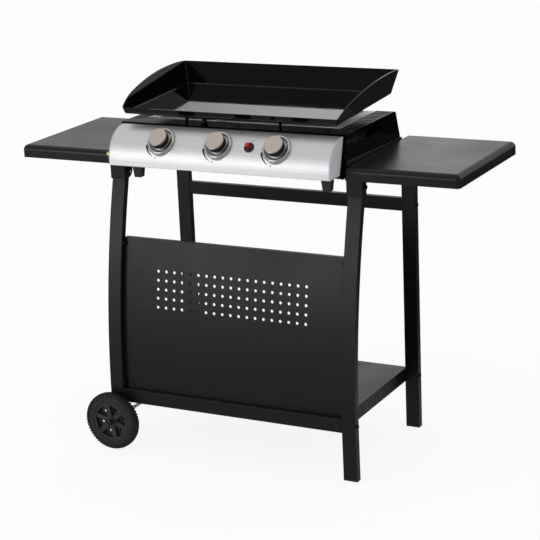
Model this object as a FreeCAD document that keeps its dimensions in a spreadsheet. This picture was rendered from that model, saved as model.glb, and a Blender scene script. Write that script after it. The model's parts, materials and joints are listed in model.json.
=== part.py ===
import FreeCAD, Part
import math
import os
import re
import Sketcher

# Outdoor gas griddle station: a three-burner griddle unit on a wheeled stand with two side tables.
# Frame: +X is to the right of someone standing at the knobs, +Y is away from them, +Z is up.
# The origin is on the floor under the middle of the object's box. All sizes are in millimetres.

os.makedirs("parts", exist_ok=True)
DOC = FreeCAD.newDocument("griddle_station")
SIZES = DOC.addObject("Spreadsheet::Sheet", "Sizes")
VECTOR = FreeCAD.Vector
X_AXIS = VECTOR(1, 0, 0)
Y_AXIS = VECTOR(0, 1, 0)
Z_AXIS = VECTOR(0, 0, 1)
ALIASES = set()
PIECES = []


def size(alias, value, note):
    """Write one driving dimension, or one formula made of them, into the sheet."""
    row = len(ALIASES) + 1
    SIZES.set("A%d" % row, note)
    SIZES.set("B%d" % row, str(value))
    SIZES.setAlias("B%d" % row, alias)
    ALIASES.add(alias)


def size_from(alias, datum, value, note):
    """Write a size that lies a set distance from another one and moves with it."""
    step = alias + "_from_" + datum
    size(step, value, "distance from " + datum)
    size(alias, "=%s + %s" % (datum, step), note)


# Stand
size("leg_out", 348.5, "half width over the outer faces of the legs")
size("tube_width", 37, "leg tube, across")
size("tube_depth", 18, "leg tube, front to back")
size("tube_wall", 1.5, "wall of the leg tube")
size("foot_half", 200.5, "front face of the front legs at the floor, from the middle")
size("leg_top", 736, "height of the top of the legs")
size("leg_straight", 100, "height at which the front legs start to bend back")
size("leg_back", 94.8372, "how far the top of the front legs stands back from their foot")
size("leg_rise", "=leg_top - leg_straight", "height over which the front legs bend")
size("leg_bend", "=(leg_rise * leg_rise + leg_back * leg_back) / (2 * leg_back)",
     "bend radius of the front face of the front legs")
size("rear_lean", 13, "how far the rear legs lean back over their height")
size("left_end", 40, "height of the lower end of the two legs that carry the wheels")
size("cap_plate", 4, "thickness of the visible part of a leg cap")
size("cap_plug", 15, "how far a leg cap reaches into its tube")
size("slip", 0.2, "clearance of parts that are pushed together by hand")
size("leg_in", "=leg_out - tube_width", "half width between the inner faces of the legs")
size("leg_mid", "=leg_out - tube_width / 2", "half width to the middle of the legs")

# Wheels
size("wheel_radius", 76, "radius of the wheels, and height of the axle")
size("wheel_width", 26, "width of a wheel")
size("wheel_gap", 10, "gap between a wheel and the foot line")
size_from("axle_side", "leg_out", -13.5, "distance of the axle from the middle")
size("axle_radius", 5, "radius of the axle")
size("axle_fit", 0.08, "running clearance of a hub on the axle")
size("tread_bow", 0.7, "how much the tread bulges between its shoulders")
size("rim_radius", 49, "radius at which the tyre sits on the hub")
size("web_inset", 8, "how deep the windows of the hub are sunk")
size("boss_radius", 13, "radius of the middle of the hub")
size("spoke_width", 11, "width of a spoke")
size("web_hole_radius", 4, "holes through the web of the hub")
size("web_hole_place", 31, "distance of these holes from the axle")
size("nut_height", 8, "height of a wheel nut")
size("nut_radius", 8.5, "radius of a wheel nut")
size("washer", 1.5, "thickness of a washer")

# Brackets, rails and tables
size("sheet", 1.2, "thickness of the sheet metal of the griddle unit, screen and shelf")
size("bracket_wall", 2, "thickness of a leg bracket")
size_from("bracket_low", "leg_top", -42, "height of the lower edge of the leg brackets")
size("bracket_deep", 38, "depth of a leg bracket")
size("bracket_front", -121.5, "front face of the front brackets")
size("bracket_hole", 2.6, "radius of the spare hole in a bracket")
size("bracket_round", 22, "rounding of the lower corner of a bracket")
size_from("bracket_bolt_z", "leg_top", -20, "height of the bolts through the brackets")
size("bolt_radius", 3, "radius of the frame bolts")
size("bolt_head", 5.5, "radius of the head of a frame bolt")
size("head_high", 3, "height of the head of a frame bolt")
size("screw_radius", 2, "radius of the screws of the griddle unit")
size("screw_head", 3.8, "radius of the head of a screw")
size_from("table_top", "leg_top", 34, "height of the side tables")
size("table_deep", 32, "height of the edge of a side table")
size_from("table_in", "leg_in", 1.5, "inner edge of a side table")
size_from("table_out", "table_in", 292, "outer edge of a side table")
size("table_front", -141, "front edge of the side tables")
size("table_rear", 234, "rear edge of the side tables")
size("table_wall", 1.5, "thickness of the side table's sheet")
size("table_round", 13, "rounding of the upper edges of a side table")
size("table_corner", 9, "rounding of the upright corners of a side table")
size("hook_front", 11, "height of the table's upstand at its front end")
size("hook_rear", 1.5, "height of the table's upstand at its rear end")
size("rail_deep", 16, "height of a side rail")
size("brace_wide", 24, "width of a table brace")
size("brace_reach", 18, "gap between a brace and the outer edge of its table")
size("table_under", "=table_top - table_deep", "height of the lower edge of the side tables")

# Screen, shelf and crossbar
size_from("screen_top", "leg_top", -188, "height of the top of the screen")
size("screen_inset", 15, "how far the screen is set back from the front of the legs")
size("screen_fold", 12, "depth of the folded edges of the screen")
size("hole_radius", 3.7, "radius of a hole in the screen")
size("hole_columns", 19, "columns of holes")
size("hole_rows", 5, "rows of holes")
size("hole_pitch", 23.2, "spacing of the columns")
size("hole_rise", 22.8, "spacing of the rows")
size_from("hole_low", "screen_top", -169, "height of the lowest row")
size("shelf_top", 159, "height of the lower shelf")
size("shelf_skirt", 35.5, "height of the edge of the shelf")
size("shelf_rear", 200, "rear edge of the shelf")
size_from("bar_low", "leg_top", -156, "lower edge of the rear crossbar")
size_from("bar_high", "bar_low", 34, "upper edge of the rear crossbar")
size("bar_deep", 14, "depth of the rear crossbar")
size("side_gap", 0.5, "gap at each end of what fits between the legs")

# Housing of the griddle unit
size_from("body_half", "leg_in", -0.5, "half width of the housing")
size_from("body_low", "leg_top", 4, "height of the bottom of the housing")
size_from("body_top", "body_low", 102, "height of the top of the housing")
size("front_low", -145, "front edge of the housing at its bottom")
size("front_top", -114, "front edge of the housing at its top")
size("rear_low", 206.5, "rear edge of the housing at its bottom")
size("rear_top", 177, "rear edge of the housing at its top, before rounding")
size("rear_round", 12, "rounding of the upper rear corner")
size("flange", 50, "width of the vented strip along each side of the top")
size("front_flange", 39, "width of the strip along the front of the top, at its ends")
size("front_deep", 64, "width of the strip along the front of the top, between the vented strips")
size("vents", 14, "number of slots in a vented strip")
size("vent_first", -67, "place of the first slot")
size("vent_pitch", 16.5, "spacing of the slots")
size("vent_wide", 6, "width of a slot")
size("vent_long", 34, "length of a slot")
size("vent_inset", 9, "distance of the slots from the inner edge of the strip")
size_from("tab_low", "body_low", -14, "lower edge of the tab by which the housing hangs on a rail")
size("tab_front", -70, "front end of the tab on the side of the housing")
size("tab_rear", 150, "rear end of the tab")
size("pan_deep", 8, "height of the edge of the base pan")
size("hang_up", 6, "height of the screws of the tabs above their lower edge")
size("table_screw", 15, "height of the table screws above the lower edge of a table")
size("grip_front", -118, "front end of the grip slot in the side")
size("grip_rear", 81, "rear end of the grip slot")
size_from("grip_high", "body_top", -15, "upper edge of the grip slot")
size_from("grip_low", "grip_high", -14, "lower edge of the grip slot, at its middle")
size("grip_step", 7, "depth of the notch in the lower edge of the slot")
size_from("tub_half", "body_half", -70, "half width of the burner tub")
size("tub_front", -46, "front of the burner tub")
size("tub_rear", 146, "rear of the burner tub")
size_from("tub_low", "body_top", -74, "underside of the burner tub")
size("tub_rim", 25, "width of the rim of the burner tub")

# Control panel
size_from("panel_half", "body_half", -7, "half width of the control panel with its ends")
size("panel_end", 1.5, "thickness of a panel end")
size("panel_round", 75, "radius of the curved front")
size("panel_front", -196, "foremost line of the panel")
size_from("panel_low", "body_low", 9, "lower edge of the panel")
size_from("panel_high", "body_top", -4, "upper face of the panel")
size("panel_return", 20, "depth of the folded lower edge")
size("knob_angle", 41, "how far the knobs point above the level, in degrees")
size("knob_pitch", 159, "spacing of the knobs")
size("igniter_side", 84, "distance of the igniter from the middle")
size("arc_y", "=panel_front + panel_round", "centre of the curved front, along Y")
size("arc_z", "=panel_high - panel_round", "centre of the curved front, along Z")
size("slope", "=(front_top - front_low) / (body_top - body_low)", "slope of the front wall")
size("knob_y", "=arc_y - panel_round * cos(knob_angle)", "middle of a knob's seat, along Y")
size("knob_z", "=arc_z + panel_round * sin(knob_angle)", "middle of a knob's seat, along Z")

# Knobs, valves and igniter
size("stem_radius", 4, "radius of a valve stem")
size("stem_fit", 0.08, "running clearance of a stem")
size("stem_flat", 1, "depth of the flat on a stem")
size("stem_out", 15, "how far a stem stands out of the panel")
size("stem_hole", 12, "radius of the hole in the panel for a stem")
size("knob_push", 3, "how far a knob is pushed in to turn it")
size("skirt_radius", 23, "radius of the foot of a knob")
size("skirt_low", 5, "how far the foot of a knob is off the panel")
size("skirt_high", 8, "top of the foot of a knob")
size("grip_radius", 20.5, "radius of the barrel of a knob")
size("cap_radius", 24, "radius of the metal cap of a knob")
size("cap_low", 22, "underside of the metal cap")
size("cap_high", 25.5, "face of the metal cap")
size("bezel_out", 36.5, "outer radius of a bezel")
size("bezel_in", 26, "inner radius of a bezel")
size("bezel_high", 6, "height of a bezel")
size("valve_radius", 11, "radius of a valve body")
size("valve_near", 6, "how deep a valve body starts behind the panel")
size("valve_far", 42, "how deep a valve body ends behind the panel")
size("spud_radius", 5, "radius of the outlet of a valve")
size("spud_end", -104, "end of the outlet of a valve")
size("pipe_radius", 8, "radius of the gas manifold")
size("pipe_y", -170, "place of the gas manifold, along Y")
size_from("pipe_z", "panel_low", 21, "height of the gas manifold")
size("inlet_out", 20, "how far the gas inlet stands out of the left end")
size("inlet_radius", 5, "radius of the hose tail of the gas inlet")
size("valve_flange", 15, "radius of the flange by which a valve is fixed to the panel")
size_from("burner_z", "tub_low", 27, "height of the burners")
size("burner_radius", 15, "radius of a burner")
size("burner_front", -32, "front of the wide part of a burner")
size("burner_rear", 136, "closed end of a burner")
size("throat_radius", 10, "radius of the throat of a burner")
size("throat_front", -110, "mouth of the throat of a burner")
size("port_radius", 1.4, "radius of a flame port")
size("ports", 12, "flame ports in a row")
size("port_pitch", 12, "spacing of the flame ports")
size("valve_mid", 28, "how deep the ports of a valve are behind the panel")
size("spark_x", 8, "place of the spark electrode, along X")
size_from("spark_z", "burner_z", 20, "height of the spark electrode")
size("spark_radius", 3.3, "radius of the insulator of the spark electrode")
size("button_radius", 4, "radius of the igniter's push rod")
size("button_head", 5.8, "radius of the igniter's button")
size("button_travel", 5, "travel of the igniter's button")
size("socket_radius", 12.5, "radius of the igniter's socket")

# Griddle plate
size("plate_tilt", 3, "fall of the plate towards the front, in degrees")
size("plate_front", -124, "front fold of the plate")
size_from("plate_rise", "body_top", 25.3, "height of the plate's floor at its front fold")
size_from("plate_half", "body_half", -19, "half width of the plate's floor")
size("plate_deep", 311.5, "depth of the plate's floor")
size("plate_thick", 3, "thickness of the plate")
size("lean_front", 12, "lean of the front lip, in degrees")
size("lean_side", 15, "lean of the side guards, in degrees")
size("lean_back", 20, "lean of the back guard, in degrees")
size("lip", 14, "height of the front lip")
size("guard_side", 61, "height of the side guards at their highest")
size("guard_back", 53.5, "height of the back guard")
size("plate_fold", 4, "inner rounding of the folds")
size("guard_top", 66, "height to which the guards are made before they are trimmed")
size("bow_front", 208, "radius of the front part of the trimmed edge of a side guard")
size("bow_middle", 802, "radius of its middle part")
size("bow_rear", 535, "radius of its rear part")
size("bow_first", 59, "place, behind the front fold, where the first part ends")
size("bow_second", 254, "place, behind the front fold, where the second part ends")
size("bow_low", 39.6, "height of the edge where the first part ends")
size("pin_side", 130, "distance of the plate's pins from the middle")
size("pin_radius", 3.3, "radius of a plate pin")
size("pin_front", -100, "place of the front pins")
size("pin_rear", 157, "place of the rear pins")
size("drain_x", -80, "place of the drain, along X")
size("drain_y", -101, "place of the drain, along Y")
size("drain_radius", 5, "radius of the drain hole")
size("drain_spout", 20, "length of the spout under the drain hole")
size("funnel_radius", 7.5, "inner radius of the grease pipe")

# Feet and grease tray
size_from("foot_side", "body_half", -48, "distance of the unit's feet from the middle")
size("foot_front", -125.5, "place of the front feet")
size("foot_rear", 150, "place of the rear feet")
size_from("foot_low", "body_low", -34.5, "underside of the unit's feet")
size("foot_wide", 30, "width of a foot at its top")
size("foot_narrow", 20, "width of a foot at its bottom")
size("foot_deep", 16, "depth of a foot")
size("tray_half", 45, "half width of the grease tray over its rims")
size("tray_lip", 6, "width of the rims by which the grease tray hangs")
size("tray_front", -118, "front of the grease tray")
size("tray_rear", 60, "rear of the grease tray")
size_from("tray_high", "body_low", -3, "rim of the grease tray")
size_from("tray_low", "tray_high", -9, "underside of the grease tray")
size("tray_wall", 1, "thickness of the grease tray's sheet")
size("tray_rim", 1.2, "thickness of its rims and pull")
size("tray_pull", 30, "width of the pull at its front")
size("run_gap", 0.5, "gap between the grease tray and its runners")
DOC.recompute()


def sheeted(text):
    """Point each size named in an expression at its cell of the sheet."""
    def cell(match):
        return "Sizes." + match.group() if match.group() in ALIASES else match.group()
    return re.sub(r"[a-z][a-z_]*", cell, text)


def number(text):
    """The present value of an expression, for picking edges and starting sketches."""
    value = SIZES.evalExpression(sheeted(text))
    return float(getattr(value, "Value", value))


def bind(thing, **bindings):
    """Tie properties to expressions. A double underscore in a name stands for a dot."""
    for name, text in bindings.items():
        thing.setExpression(name.replace("__", "."), sheeted(text))


def place(thing, x="0", y="0", z="0"):
    """Tie the position of an object to expressions."""
    bind(thing, Placement__Base__x=x, Placement__Base__y=y, Placement__Base__z=z)


def turned_up(thing, x, out="0"):
    """Stand an object, built along +Z, on the curved panel at x, square to its face."""
    thing.Placement = FreeCAD.Placement(VECTOR(), FreeCAD.Rotation(X_AXIS, 90 - number("knob_angle")))
    bind(thing, Placement__Rotation__Angle="90 - knob_angle")
    place(thing, x, "knob_y - (%s) * cos(knob_angle)" % out, "knob_z + (%s) * sin(knob_angle)" % out)


def keep(thing, label):
    """Register a finished piece under the name of its node."""
    thing.Label = label
    PIECES.append(thing)
    return thing


def box(x, y, z, length, width, height):
    block = DOC.addObject("Part::Box", "box")
    bind(block, Length=length, Width=width, Height=height)
    place(block, x, y, z)
    return block


def cylinder(radius, height, x, y, z, axis=Z_AXIS):
    rod = DOC.addObject("Part::Cylinder", "cylinder")
    rod.Placement = FreeCAD.Placement(VECTOR(), FreeCAD.Rotation(Z_AXIS, axis))
    bind(rod, Radius=radius, Height=height)
    place(rod, x, y, z)
    return rod


def cone(radius_low, radius_high, height, x, y, z, axis=Z_AXIS):
    taper = DOC.addObject("Part::Cone", "cone")
    taper.Placement = FreeCAD.Placement(VECTOR(), FreeCAD.Rotation(Z_AXIS, axis))
    bind(taper, Radius1=radius_low, Radius2=radius_high, Height=height)
    place(taper, x, y, z)
    return taper


def fused(*things):
    union = DOC.addObject("Part::MultiFuse", "union")
    union.Shapes = list(things)
    return union


def cut(base, *tools):
    result = DOC.addObject("Part::Cut", "cut")
    result.Base = base
    result.Tool = tools[0] if len(tools) == 1 else fused(*tools)
    return result


def together(*things):
    """Separate solids in one node, for identical small parts."""
    group = DOC.addObject("Part::Compound", "group")
    group.Links = list(things)
    return group


def mirrored(thing):
    """The same piece on the other side of the YZ plane."""
    other = DOC.addObject("Part::Mirroring", "mirror")
    other.Source = thing
    other.Base = VECTOR()
    other.Normal = X_AXIS
    return other


def new_body():
    return DOC.addObject("PartDesign::Body", "body")


def new_sketch(body, role, offset="0"):
    """A sketch on one of the body's own planes, moved off it along the normal by an expression."""
    sketch = body.newObject("Sketcher::SketchObject", "sketch")
    plane = [feature for feature in body.Origin.OriginFeatures if feature.Role == role][0]
    sketch.AttachmentSupport = [(plane, "")]
    sketch.MapMode = "FlatFace"
    bind(sketch, AttachmentOffset__Base__z=offset)
    return sketch


def pin_down(sketch, geometry, end, x, y):
    """Tie one point of a sketch to two expressions."""
    for kind, text in (("DistanceX", x), ("DistanceY", y)):
        index = sketch.addConstraint(Sketcher.Constraint(kind, -1, 1, geometry, end, number(text)))
        sketch.setExpression("Constraints[%d]" % index, sheeted(text))


def draw(sketch, corners):
    """Draw a closed outline. A corner is (x, y), or (x, y, radius, turn) where an arc leads to it.

    turn is 1 for an arc that bends to the left of the way it is drawn, and -1 for one to the right.
    """
    spots = [VECTOR(number(corner[0]), number(corner[1]), 0) for corner in corners]
    ends = []
    for index, corner in enumerate(corners):
        start, stop = spots[index - 1], spots[index]
        if len(corner) == 2:
            geometry = sketch.addGeometry(Part.LineSegment(start, stop))
            ends.append((geometry, 1, 2))
            continue
        radius, turn = number(corner[2]), corner[3]
        half = (stop - start) / 2
        side = VECTOR(-half.y, half.x, 0).normalize() * turn
        centre = start + half + side * (radius ** 2 - half.Length ** 2) ** 0.5
        circle = Part.Circle(centre, Z_AXIS, radius)
        low, high = (start, stop) if turn > 0 else (stop, start)
        begin, finish = circle.parameter(low), circle.parameter(high)
        if finish < begin:
            finish += 2 * math.pi
        geometry = sketch.addGeometry(Part.ArcOfCircle(circle, begin, finish))
        ends.append((geometry, 1, 2) if turn > 0 else (geometry, 2, 1))
        bend = sketch.addConstraint(Sketcher.Constraint("Radius", geometry, radius))
        sketch.setExpression("Constraints[%d]" % bend, sheeted(corner[2]))
    for index, corner in enumerate(corners):
        geometry, _, last = ends[index]
        following, begin, _ = ends[(index + 1) % len(ends)]
        sketch.addConstraint(Sketcher.Constraint("Coincident", geometry, last, following, begin))
        pin_down(sketch, geometry, last, corner[0], corner[1])


def draw_circle(sketch, x, y, radius):
    circle = Part.Circle(VECTOR(number(x), number(y), 0), Z_AXIS, number(radius))
    geometry = sketch.addGeometry(circle)
    pin_down(sketch, geometry, 3, x, y)
    index = sketch.addConstraint(Sketcher.Constraint("Radius", geometry, number(radius)))
    sketch.setExpression("Constraints[%d]" % index, sheeted(radius))


def rectangle(x_low, y_low, x_high, y_high):
    return [(x_low, y_low), (x_high, y_low), (x_high, y_high), (x_low, y_high)]


def pad(body, sketch, length, symmetric=False):
    feature = body.newObject("PartDesign::Pad", "pad")
    feature.Profile = sketch
    feature.SideType = "Symmetric" if symmetric else "One side"
    bind(feature, Length=length)
    DOC.recompute()
    return feature


def pocket(body, sketch, length=None, reverse=False):
    """Cut a sketch out of its body: right through, or to a depth along the sketch's normal."""
    before = body.Shape.Volume
    feature = body.newObject("PartDesign::Pocket", "pocket")
    feature.Profile = sketch
    if length is None:
        feature.SideType = "Symmetric"
        feature.Type = "ThroughAll"
    elif reverse is None:
        feature.SideType = "Symmetric"
        bind(feature, Length=length)
    else:
        feature.Reversed = reverse
        bind(feature, Length=length)
    DOC.recompute()
    if body.Shape.Volume >= before:
        raise ValueError("a pocket of %s cut nothing" % body.Label)
    return feature


def revolve(body, sketch):
    feature = body.newObject("PartDesign::Revolution", "revolution")
    feature.Profile = sketch
    feature.ReferenceAxis = (sketch, ["V_Axis"])
    feature.Angle = 360
    DOC.recompute()
    return feature


def fillet(body, radius, wanted):
    """Round the edges of a body that wanted(edge) picks by their place."""
    DOC.recompute()
    base = body.Tip
    names = ["Edge%d" % (index + 1) for index, edge in enumerate(base.Shape.Edges) if wanted(edge)]
    if not names:
        raise ValueError("no edge to round on %s" % body.Label)
    feature = body.newObject("PartDesign::Fillet", "fillet")
    feature.Base = (base, names)
    bind(feature, Radius=radius)
    DOC.recompute()
    return feature


def repeat(body, feature, sketch, axis, spacing, count, second=None):
    """Copy a feature along an axis of its sketch, and along a second one where it is given."""
    pattern = body.newObject("PartDesign::LinearPattern", "pattern")
    pattern.Originals = [feature]
    pattern.Direction = (sketch, [axis])
    bind(pattern, Length="%s * (%s - 1)" % (spacing, count), Occurrences=count)
    if second:
        pattern.Direction2 = (sketch, [second[0]])
        bind(pattern, Length2="%s * (%s - 1)" % second[1:], Occurrences2=second[2])
    body.Tip = pattern
    DOC.recompute()
    return pattern


def prism(role, corners, length, offset="0"):
    """A body made by pulling an outline out evenly to both sides of its plane."""
    body = new_body()
    sketch = new_sketch(body, role, offset)
    draw(sketch, corners)
    pad(body, sketch, length, symmetric=True)
    return body


def spun(corners):
    """A body made by turning an outline of (radius, height) about +Z."""
    body = new_body()
    sketch = new_sketch(body, "XZ_Plane")
    draw(sketch, corners)
    revolve(body, sketch)
    return body


def level(edge, height, reach=0.01):
    """Whether an edge lies at one height."""
    return abs(edge.BoundBox.ZMin - height) < reach and abs(edge.BoundBox.ZMax - height) < reach


def upright(edge):
    """Whether an edge runs straight up."""
    bounds = edge.BoundBox
    return bounds.ZLength > 1 and bounds.XLength < 0.01 and bounds.YLength < 0.01


# Legs

def bent(inset, height):
    """Where the bent face of a front leg, set in by inset, is at a height."""
    rise = "(%s - leg_straight)" % height
    reach = "(leg_bend - %s)" % inset
    return "(leg_bend - foot_half - sqrt(%s * %s - %s * %s))" % (reach, reach, rise, rise)


def front_leg_outline(foot, near, far, over):
    top = "leg_top + %s" % over
    low = "%s - %s" % (foot, over)
    return [
        ("%s - foot_half" % near, low),
        ("%s - foot_half" % near, "leg_straight"),
        (bent(near, "(%s)" % top), top, "leg_bend - %s" % near, -1),
        (bent(far, "(%s)" % top), top),
        ("%s - foot_half" % far, "leg_straight", "leg_bend - %s" % far, 1),
        ("%s - foot_half" % far, low),
    ]


def rear_leg_outline(foot, near, far, over):
    top = "leg_top + %s" % over
    low = "%s - %s" % (foot, over)
    return [
        ("foot_half - tube_depth + %s + rear_lean * (%s) / leg_top" % (near, low), low),
        ("foot_half - tube_depth + %s + rear_lean * (%s) / leg_top" % (near, top), top),
        ("foot_half - tube_depth + %s + rear_lean * (%s) / leg_top" % (far, top), top),
        ("foot_half - tube_depth + %s + rear_lean * (%s) / leg_top" % (far, low), low),
    ]


def leg_middle(z, front):
    """The middle of a leg's depth at a height."""
    if front:
        return bent("tube_depth / 2", "(%s)" % z)
    return "(foot_half - tube_depth / 2 + rear_lean * (%s) / leg_top)" % z


FRONT_BOLT_Y = leg_middle("bracket_bolt_z", True)
REAR_BOLT_Y = leg_middle("bracket_bolt_z", False)
SHELF_BOLT_Z = "(shelf_top - shelf_skirt / 2)"
SHELF_BOLT_Y = {True: leg_middle(SHELF_BOLT_Z, True), False: "(shelf_rear - sheet - bolt_head - 0.8)"}
BAR_BOLT_Z = "((bar_low + bar_high) / 2)"
SCREEN_BOLTS = ("(shelf_top + 14)", "(screen_top - 14)")


def leg(label, outline, side, foot, front, axle=False):
    """A leg tube, bored for its bolts, and for the axle on the left."""
    body = prism("YZ_Plane", outline(foot, "0", "tube_depth", "0"), "tube_width", "%s * leg_mid" % side)
    hollow = new_sketch(body, "YZ_Plane", "%s * leg_mid" % side)
    draw(hollow, outline(foot, "tube_wall", "(tube_depth - tube_wall)", "1"))
    pocket(body, hollow, "tube_width - 2 * tube_wall", reverse=None)
    bores = new_sketch(body, "YZ_Plane")
    draw_circle(bores, SHELF_BOLT_Y[front], SHELF_BOLT_Z, "bolt_radius + slip")
    for height in ["bracket_bolt_z"] + (list(SCREEN_BOLTS) if front else [BAR_BOLT_Z]):
        draw_circle(bores, leg_middle(height, front), height, "bolt_radius + slip")
    pocket(body, bores)
    if axle:
        bore = new_sketch(body, "XZ_Plane")
        draw_circle(bore, "-axle_side", "wheel_radius", "axle_radius + slip")
        pocket(body, bore)
    return keep(body, label)


LEFT_FOOT = "(left_end + cap_plate)"
leg("leg_front_left", front_leg_outline, "-1", LEFT_FOOT, True, axle=True)
leg("leg_front_right", front_leg_outline, "1", "cap_plate", True)
leg("leg_rear_left", rear_leg_outline, "-1", LEFT_FOOT, False, axle=True)
leg("leg_rear_right", rear_leg_outline, "1", "cap_plate", False)


def leg_cap(side, front, floor):
    """A plate as large as the tube, with a plug that fits into it."""
    x_low = "%s * leg_mid - tube_width / 2" % side
    plate = box(x_low, front, floor, "tube_width", "tube_depth", "cap_plate")
    inset = "tube_wall + slip + 0.4"
    plug = box("%s + %s" % (x_low, inset), "%s + %s" % (front, inset), "%s + cap_plate" % floor,
               "tube_width - 2 * (%s)" % inset, "tube_depth - 2 * (%s)" % inset, "cap_plug")
    return fused(plate, plug)


FRONT_FOOT = "0 - foot_half"
REAR_FOOT = "foot_half - tube_depth + 0.2"
keep(together(leg_cap("-1", FRONT_FOOT, "left_end"), leg_cap("1", FRONT_FOOT, "0"),
              leg_cap("-1", REAR_FOOT + " + rear_lean * left_end / leg_top", "left_end"),
              leg_cap("1", REAR_FOOT, "0")), "leg_caps")

# Leg brackets

REAR_BRACKET = "(foot_half + rear_lean + bracket_wall + slip)"


def bracket(front):
    """A channel round the top of a right-hand leg, open to the middle of the stand."""
    face = "bracket_front" if front else REAR_BRACKET
    inward = "1" if front else "-1"
    edge = "%s + %s * bracket_deep" % (face, inward)
    slope = "%s + %s * (bracket_deep - bracket_round)" % (face, inward)
    profile = [(face, "bracket_low"), (slope, "bracket_low"),
               (edge, "bracket_low + bracket_round", "bracket_round", 1 if front else -1),
               (edge, "table_under"), (face, "table_under")]
    body = prism("YZ_Plane", profile, "tube_width + 2 * bracket_wall + 2 * slip", "leg_mid")
    room = new_sketch(body, "YZ_Plane", "leg_mid")
    web = "%s + %s * bracket_wall" % (face, inward)
    past = "%s + %s" % (edge, inward)
    draw(room, [(web, "bracket_low - 1"), (past, "bracket_low - 1"), (past, "leg_top + slip"),
                (web, "leg_top + slip")])
    pocket(body, room, "tube_width + 2 * slip", reverse=None)
    short = new_sketch(body, "YZ_Plane", "leg_out + slip")
    draw(short, rectangle("%s + %s * 24.5" % (face, inward), "bracket_low - 1", past, "leg_top + slip")
         if front else rectangle(past, "bracket_low - 1", "%s + %s * 24.5" % (face, inward), "leg_top + slip"))
    pocket(body, short, "bracket_wall + 1", reverse=True)
    spare = new_sketch(body, "YZ_Plane")
    draw_circle(spare, "%s + %s * (bracket_deep - 9.5)" % (face, inward), "bracket_low + 14", "bracket_hole")
    draw_circle(spare, FRONT_BOLT_Y if front else REAR_BOLT_Y, "bracket_bolt_z", "bolt_radius + slip")
    pocket(body, spare)
    return body


for place_name, is_front in (("front", True), ("rear", False)):
    right_bracket = bracket(is_front)
    keep(mirrored(right_bracket), "bracket_%s_left" % place_name)
    keep(right_bracket, "bracket_%s_right" % place_name)

# Side rails between the brackets, under the tables

RAIL_FRONT = "(bracket_front + bracket_deep)"
RAIL_LONG = "(%s - bracket_deep - %s)" % (REAR_BRACKET, RAIL_FRONT)


UNIT_SCREWS = ("tab_front + 15", "tab_rear - 15")
TABLE_SCREWS = ("tab_front + 30", "tab_rear - 30")


def side_rail():
    """A channel, open below, on which a table and the griddle unit are bolted."""
    outer = box("leg_in", RAIL_FRONT, "table_under - rail_deep", "tube_width", RAIL_LONG, "rail_deep")
    inner = box("leg_in + tube_wall", RAIL_FRONT + " - 1", "table_under - rail_deep - 1",
                "tube_width - 2 * tube_wall", RAIL_LONG + " + 2", "rail_deep + 1 - tube_wall")
    bores = [cylinder("screw_radius + slip", "tube_wall + 2", "leg_in - 1", y, "tab_low + hang_up", X_AXIS)
             for y in UNIT_SCREWS]
    return cut(outer, inner, *bores)


RIGHT_RAIL = side_rail()
keep(together(mirrored(RIGHT_RAIL), RIGHT_RAIL), "side_rails")

# Side tables

def table():
    """A folded tray with its open side down, rounded edges and a tapered upstand at its inner edge."""
    body = new_body()
    outline = new_sketch(body, "XY_Plane", "table_under")
    draw(outline, rectangle("table_in", "table_front", "table_out", "table_rear"))
    pad(body, outline, "table_deep")
    fillet(body, "table_corner", upright)
    last = fillet(body, "table_round", lambda edge: level(edge, number("table_top")))
    low = number("table_under")
    under = [index for index, face in enumerate(last.Shape.Faces) if face.BoundBox.ZMax < low + 0.01]
    shell = body.newObject("PartDesign::Thickness", "shell")
    shell.Base = (last, ["Face%d" % (under[0] + 1)])
    shell.Reversed = True
    bind(shell, Value="table_wall")
    DOC.recompute()
    upstand = new_sketch(body, "YZ_Plane", "table_in")
    draw(upstand, [("table_front + table_round + 2", "table_top - table_round - 1"),
                   ("rear_low - 4", "table_top - table_round - 1"),
                   ("rear_low - 8", "table_top + hook_rear"),
                   ("front_low + 24", "table_top + hook_front"),
                   ("table_front + table_round + 2", "table_top + hook_front - 6")])
    pad(body, upstand, "table_wall")
    bores = new_sketch(body, "YZ_Plane", "table_in + table_wall + 1")
    for y in TABLE_SCREWS:
        draw_circle(bores, y, "table_under + table_screw", "screw_radius + slip")
    pocket(body, bores, "table_wall + 2", reverse=False)
    return body


RIGHT_TABLE = table()
keep(mirrored(RIGHT_TABLE), "side_table_left")
keep(RIGHT_TABLE, "side_table_right")


def table_brace(y):
    """A channel under a table, from the rail out to near the outer edge."""
    wide, high = "brace_wide", "(table_deep - table_wall)"
    start = "(table_in + table_round + side_gap)"
    long = "(table_out - brace_reach - %s)" % start
    outer = box(start, y, "table_under", long, wide, high)
    inner = box(start + " - 1", y + " + table_wall", "table_under - 1",
                long + " + 2", wide + " - 2 * table_wall", high + " + 1 - table_wall")
    return cut(outer, inner)


BRACES = [table_brace("-72"), table_brace("142")]
keep(together(*(BRACES + [mirrored(brace) for brace in BRACES])), "table_braces")

# Screen, shelf and crossbar

SCREEN_FOOT = "(shelf_top + 0.2)"
SCREEN_WIDE = "(2 * leg_in - 2 * side_gap)"


def screen_outline(near, far, low, high):
    return [(bent(near, low), low),
            (bent(near, high), high, "leg_bend - %s" % near, -1),
            (bent(far, high), high),
            (bent(far, low), low, "leg_bend - %s" % far, 1)]


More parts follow.
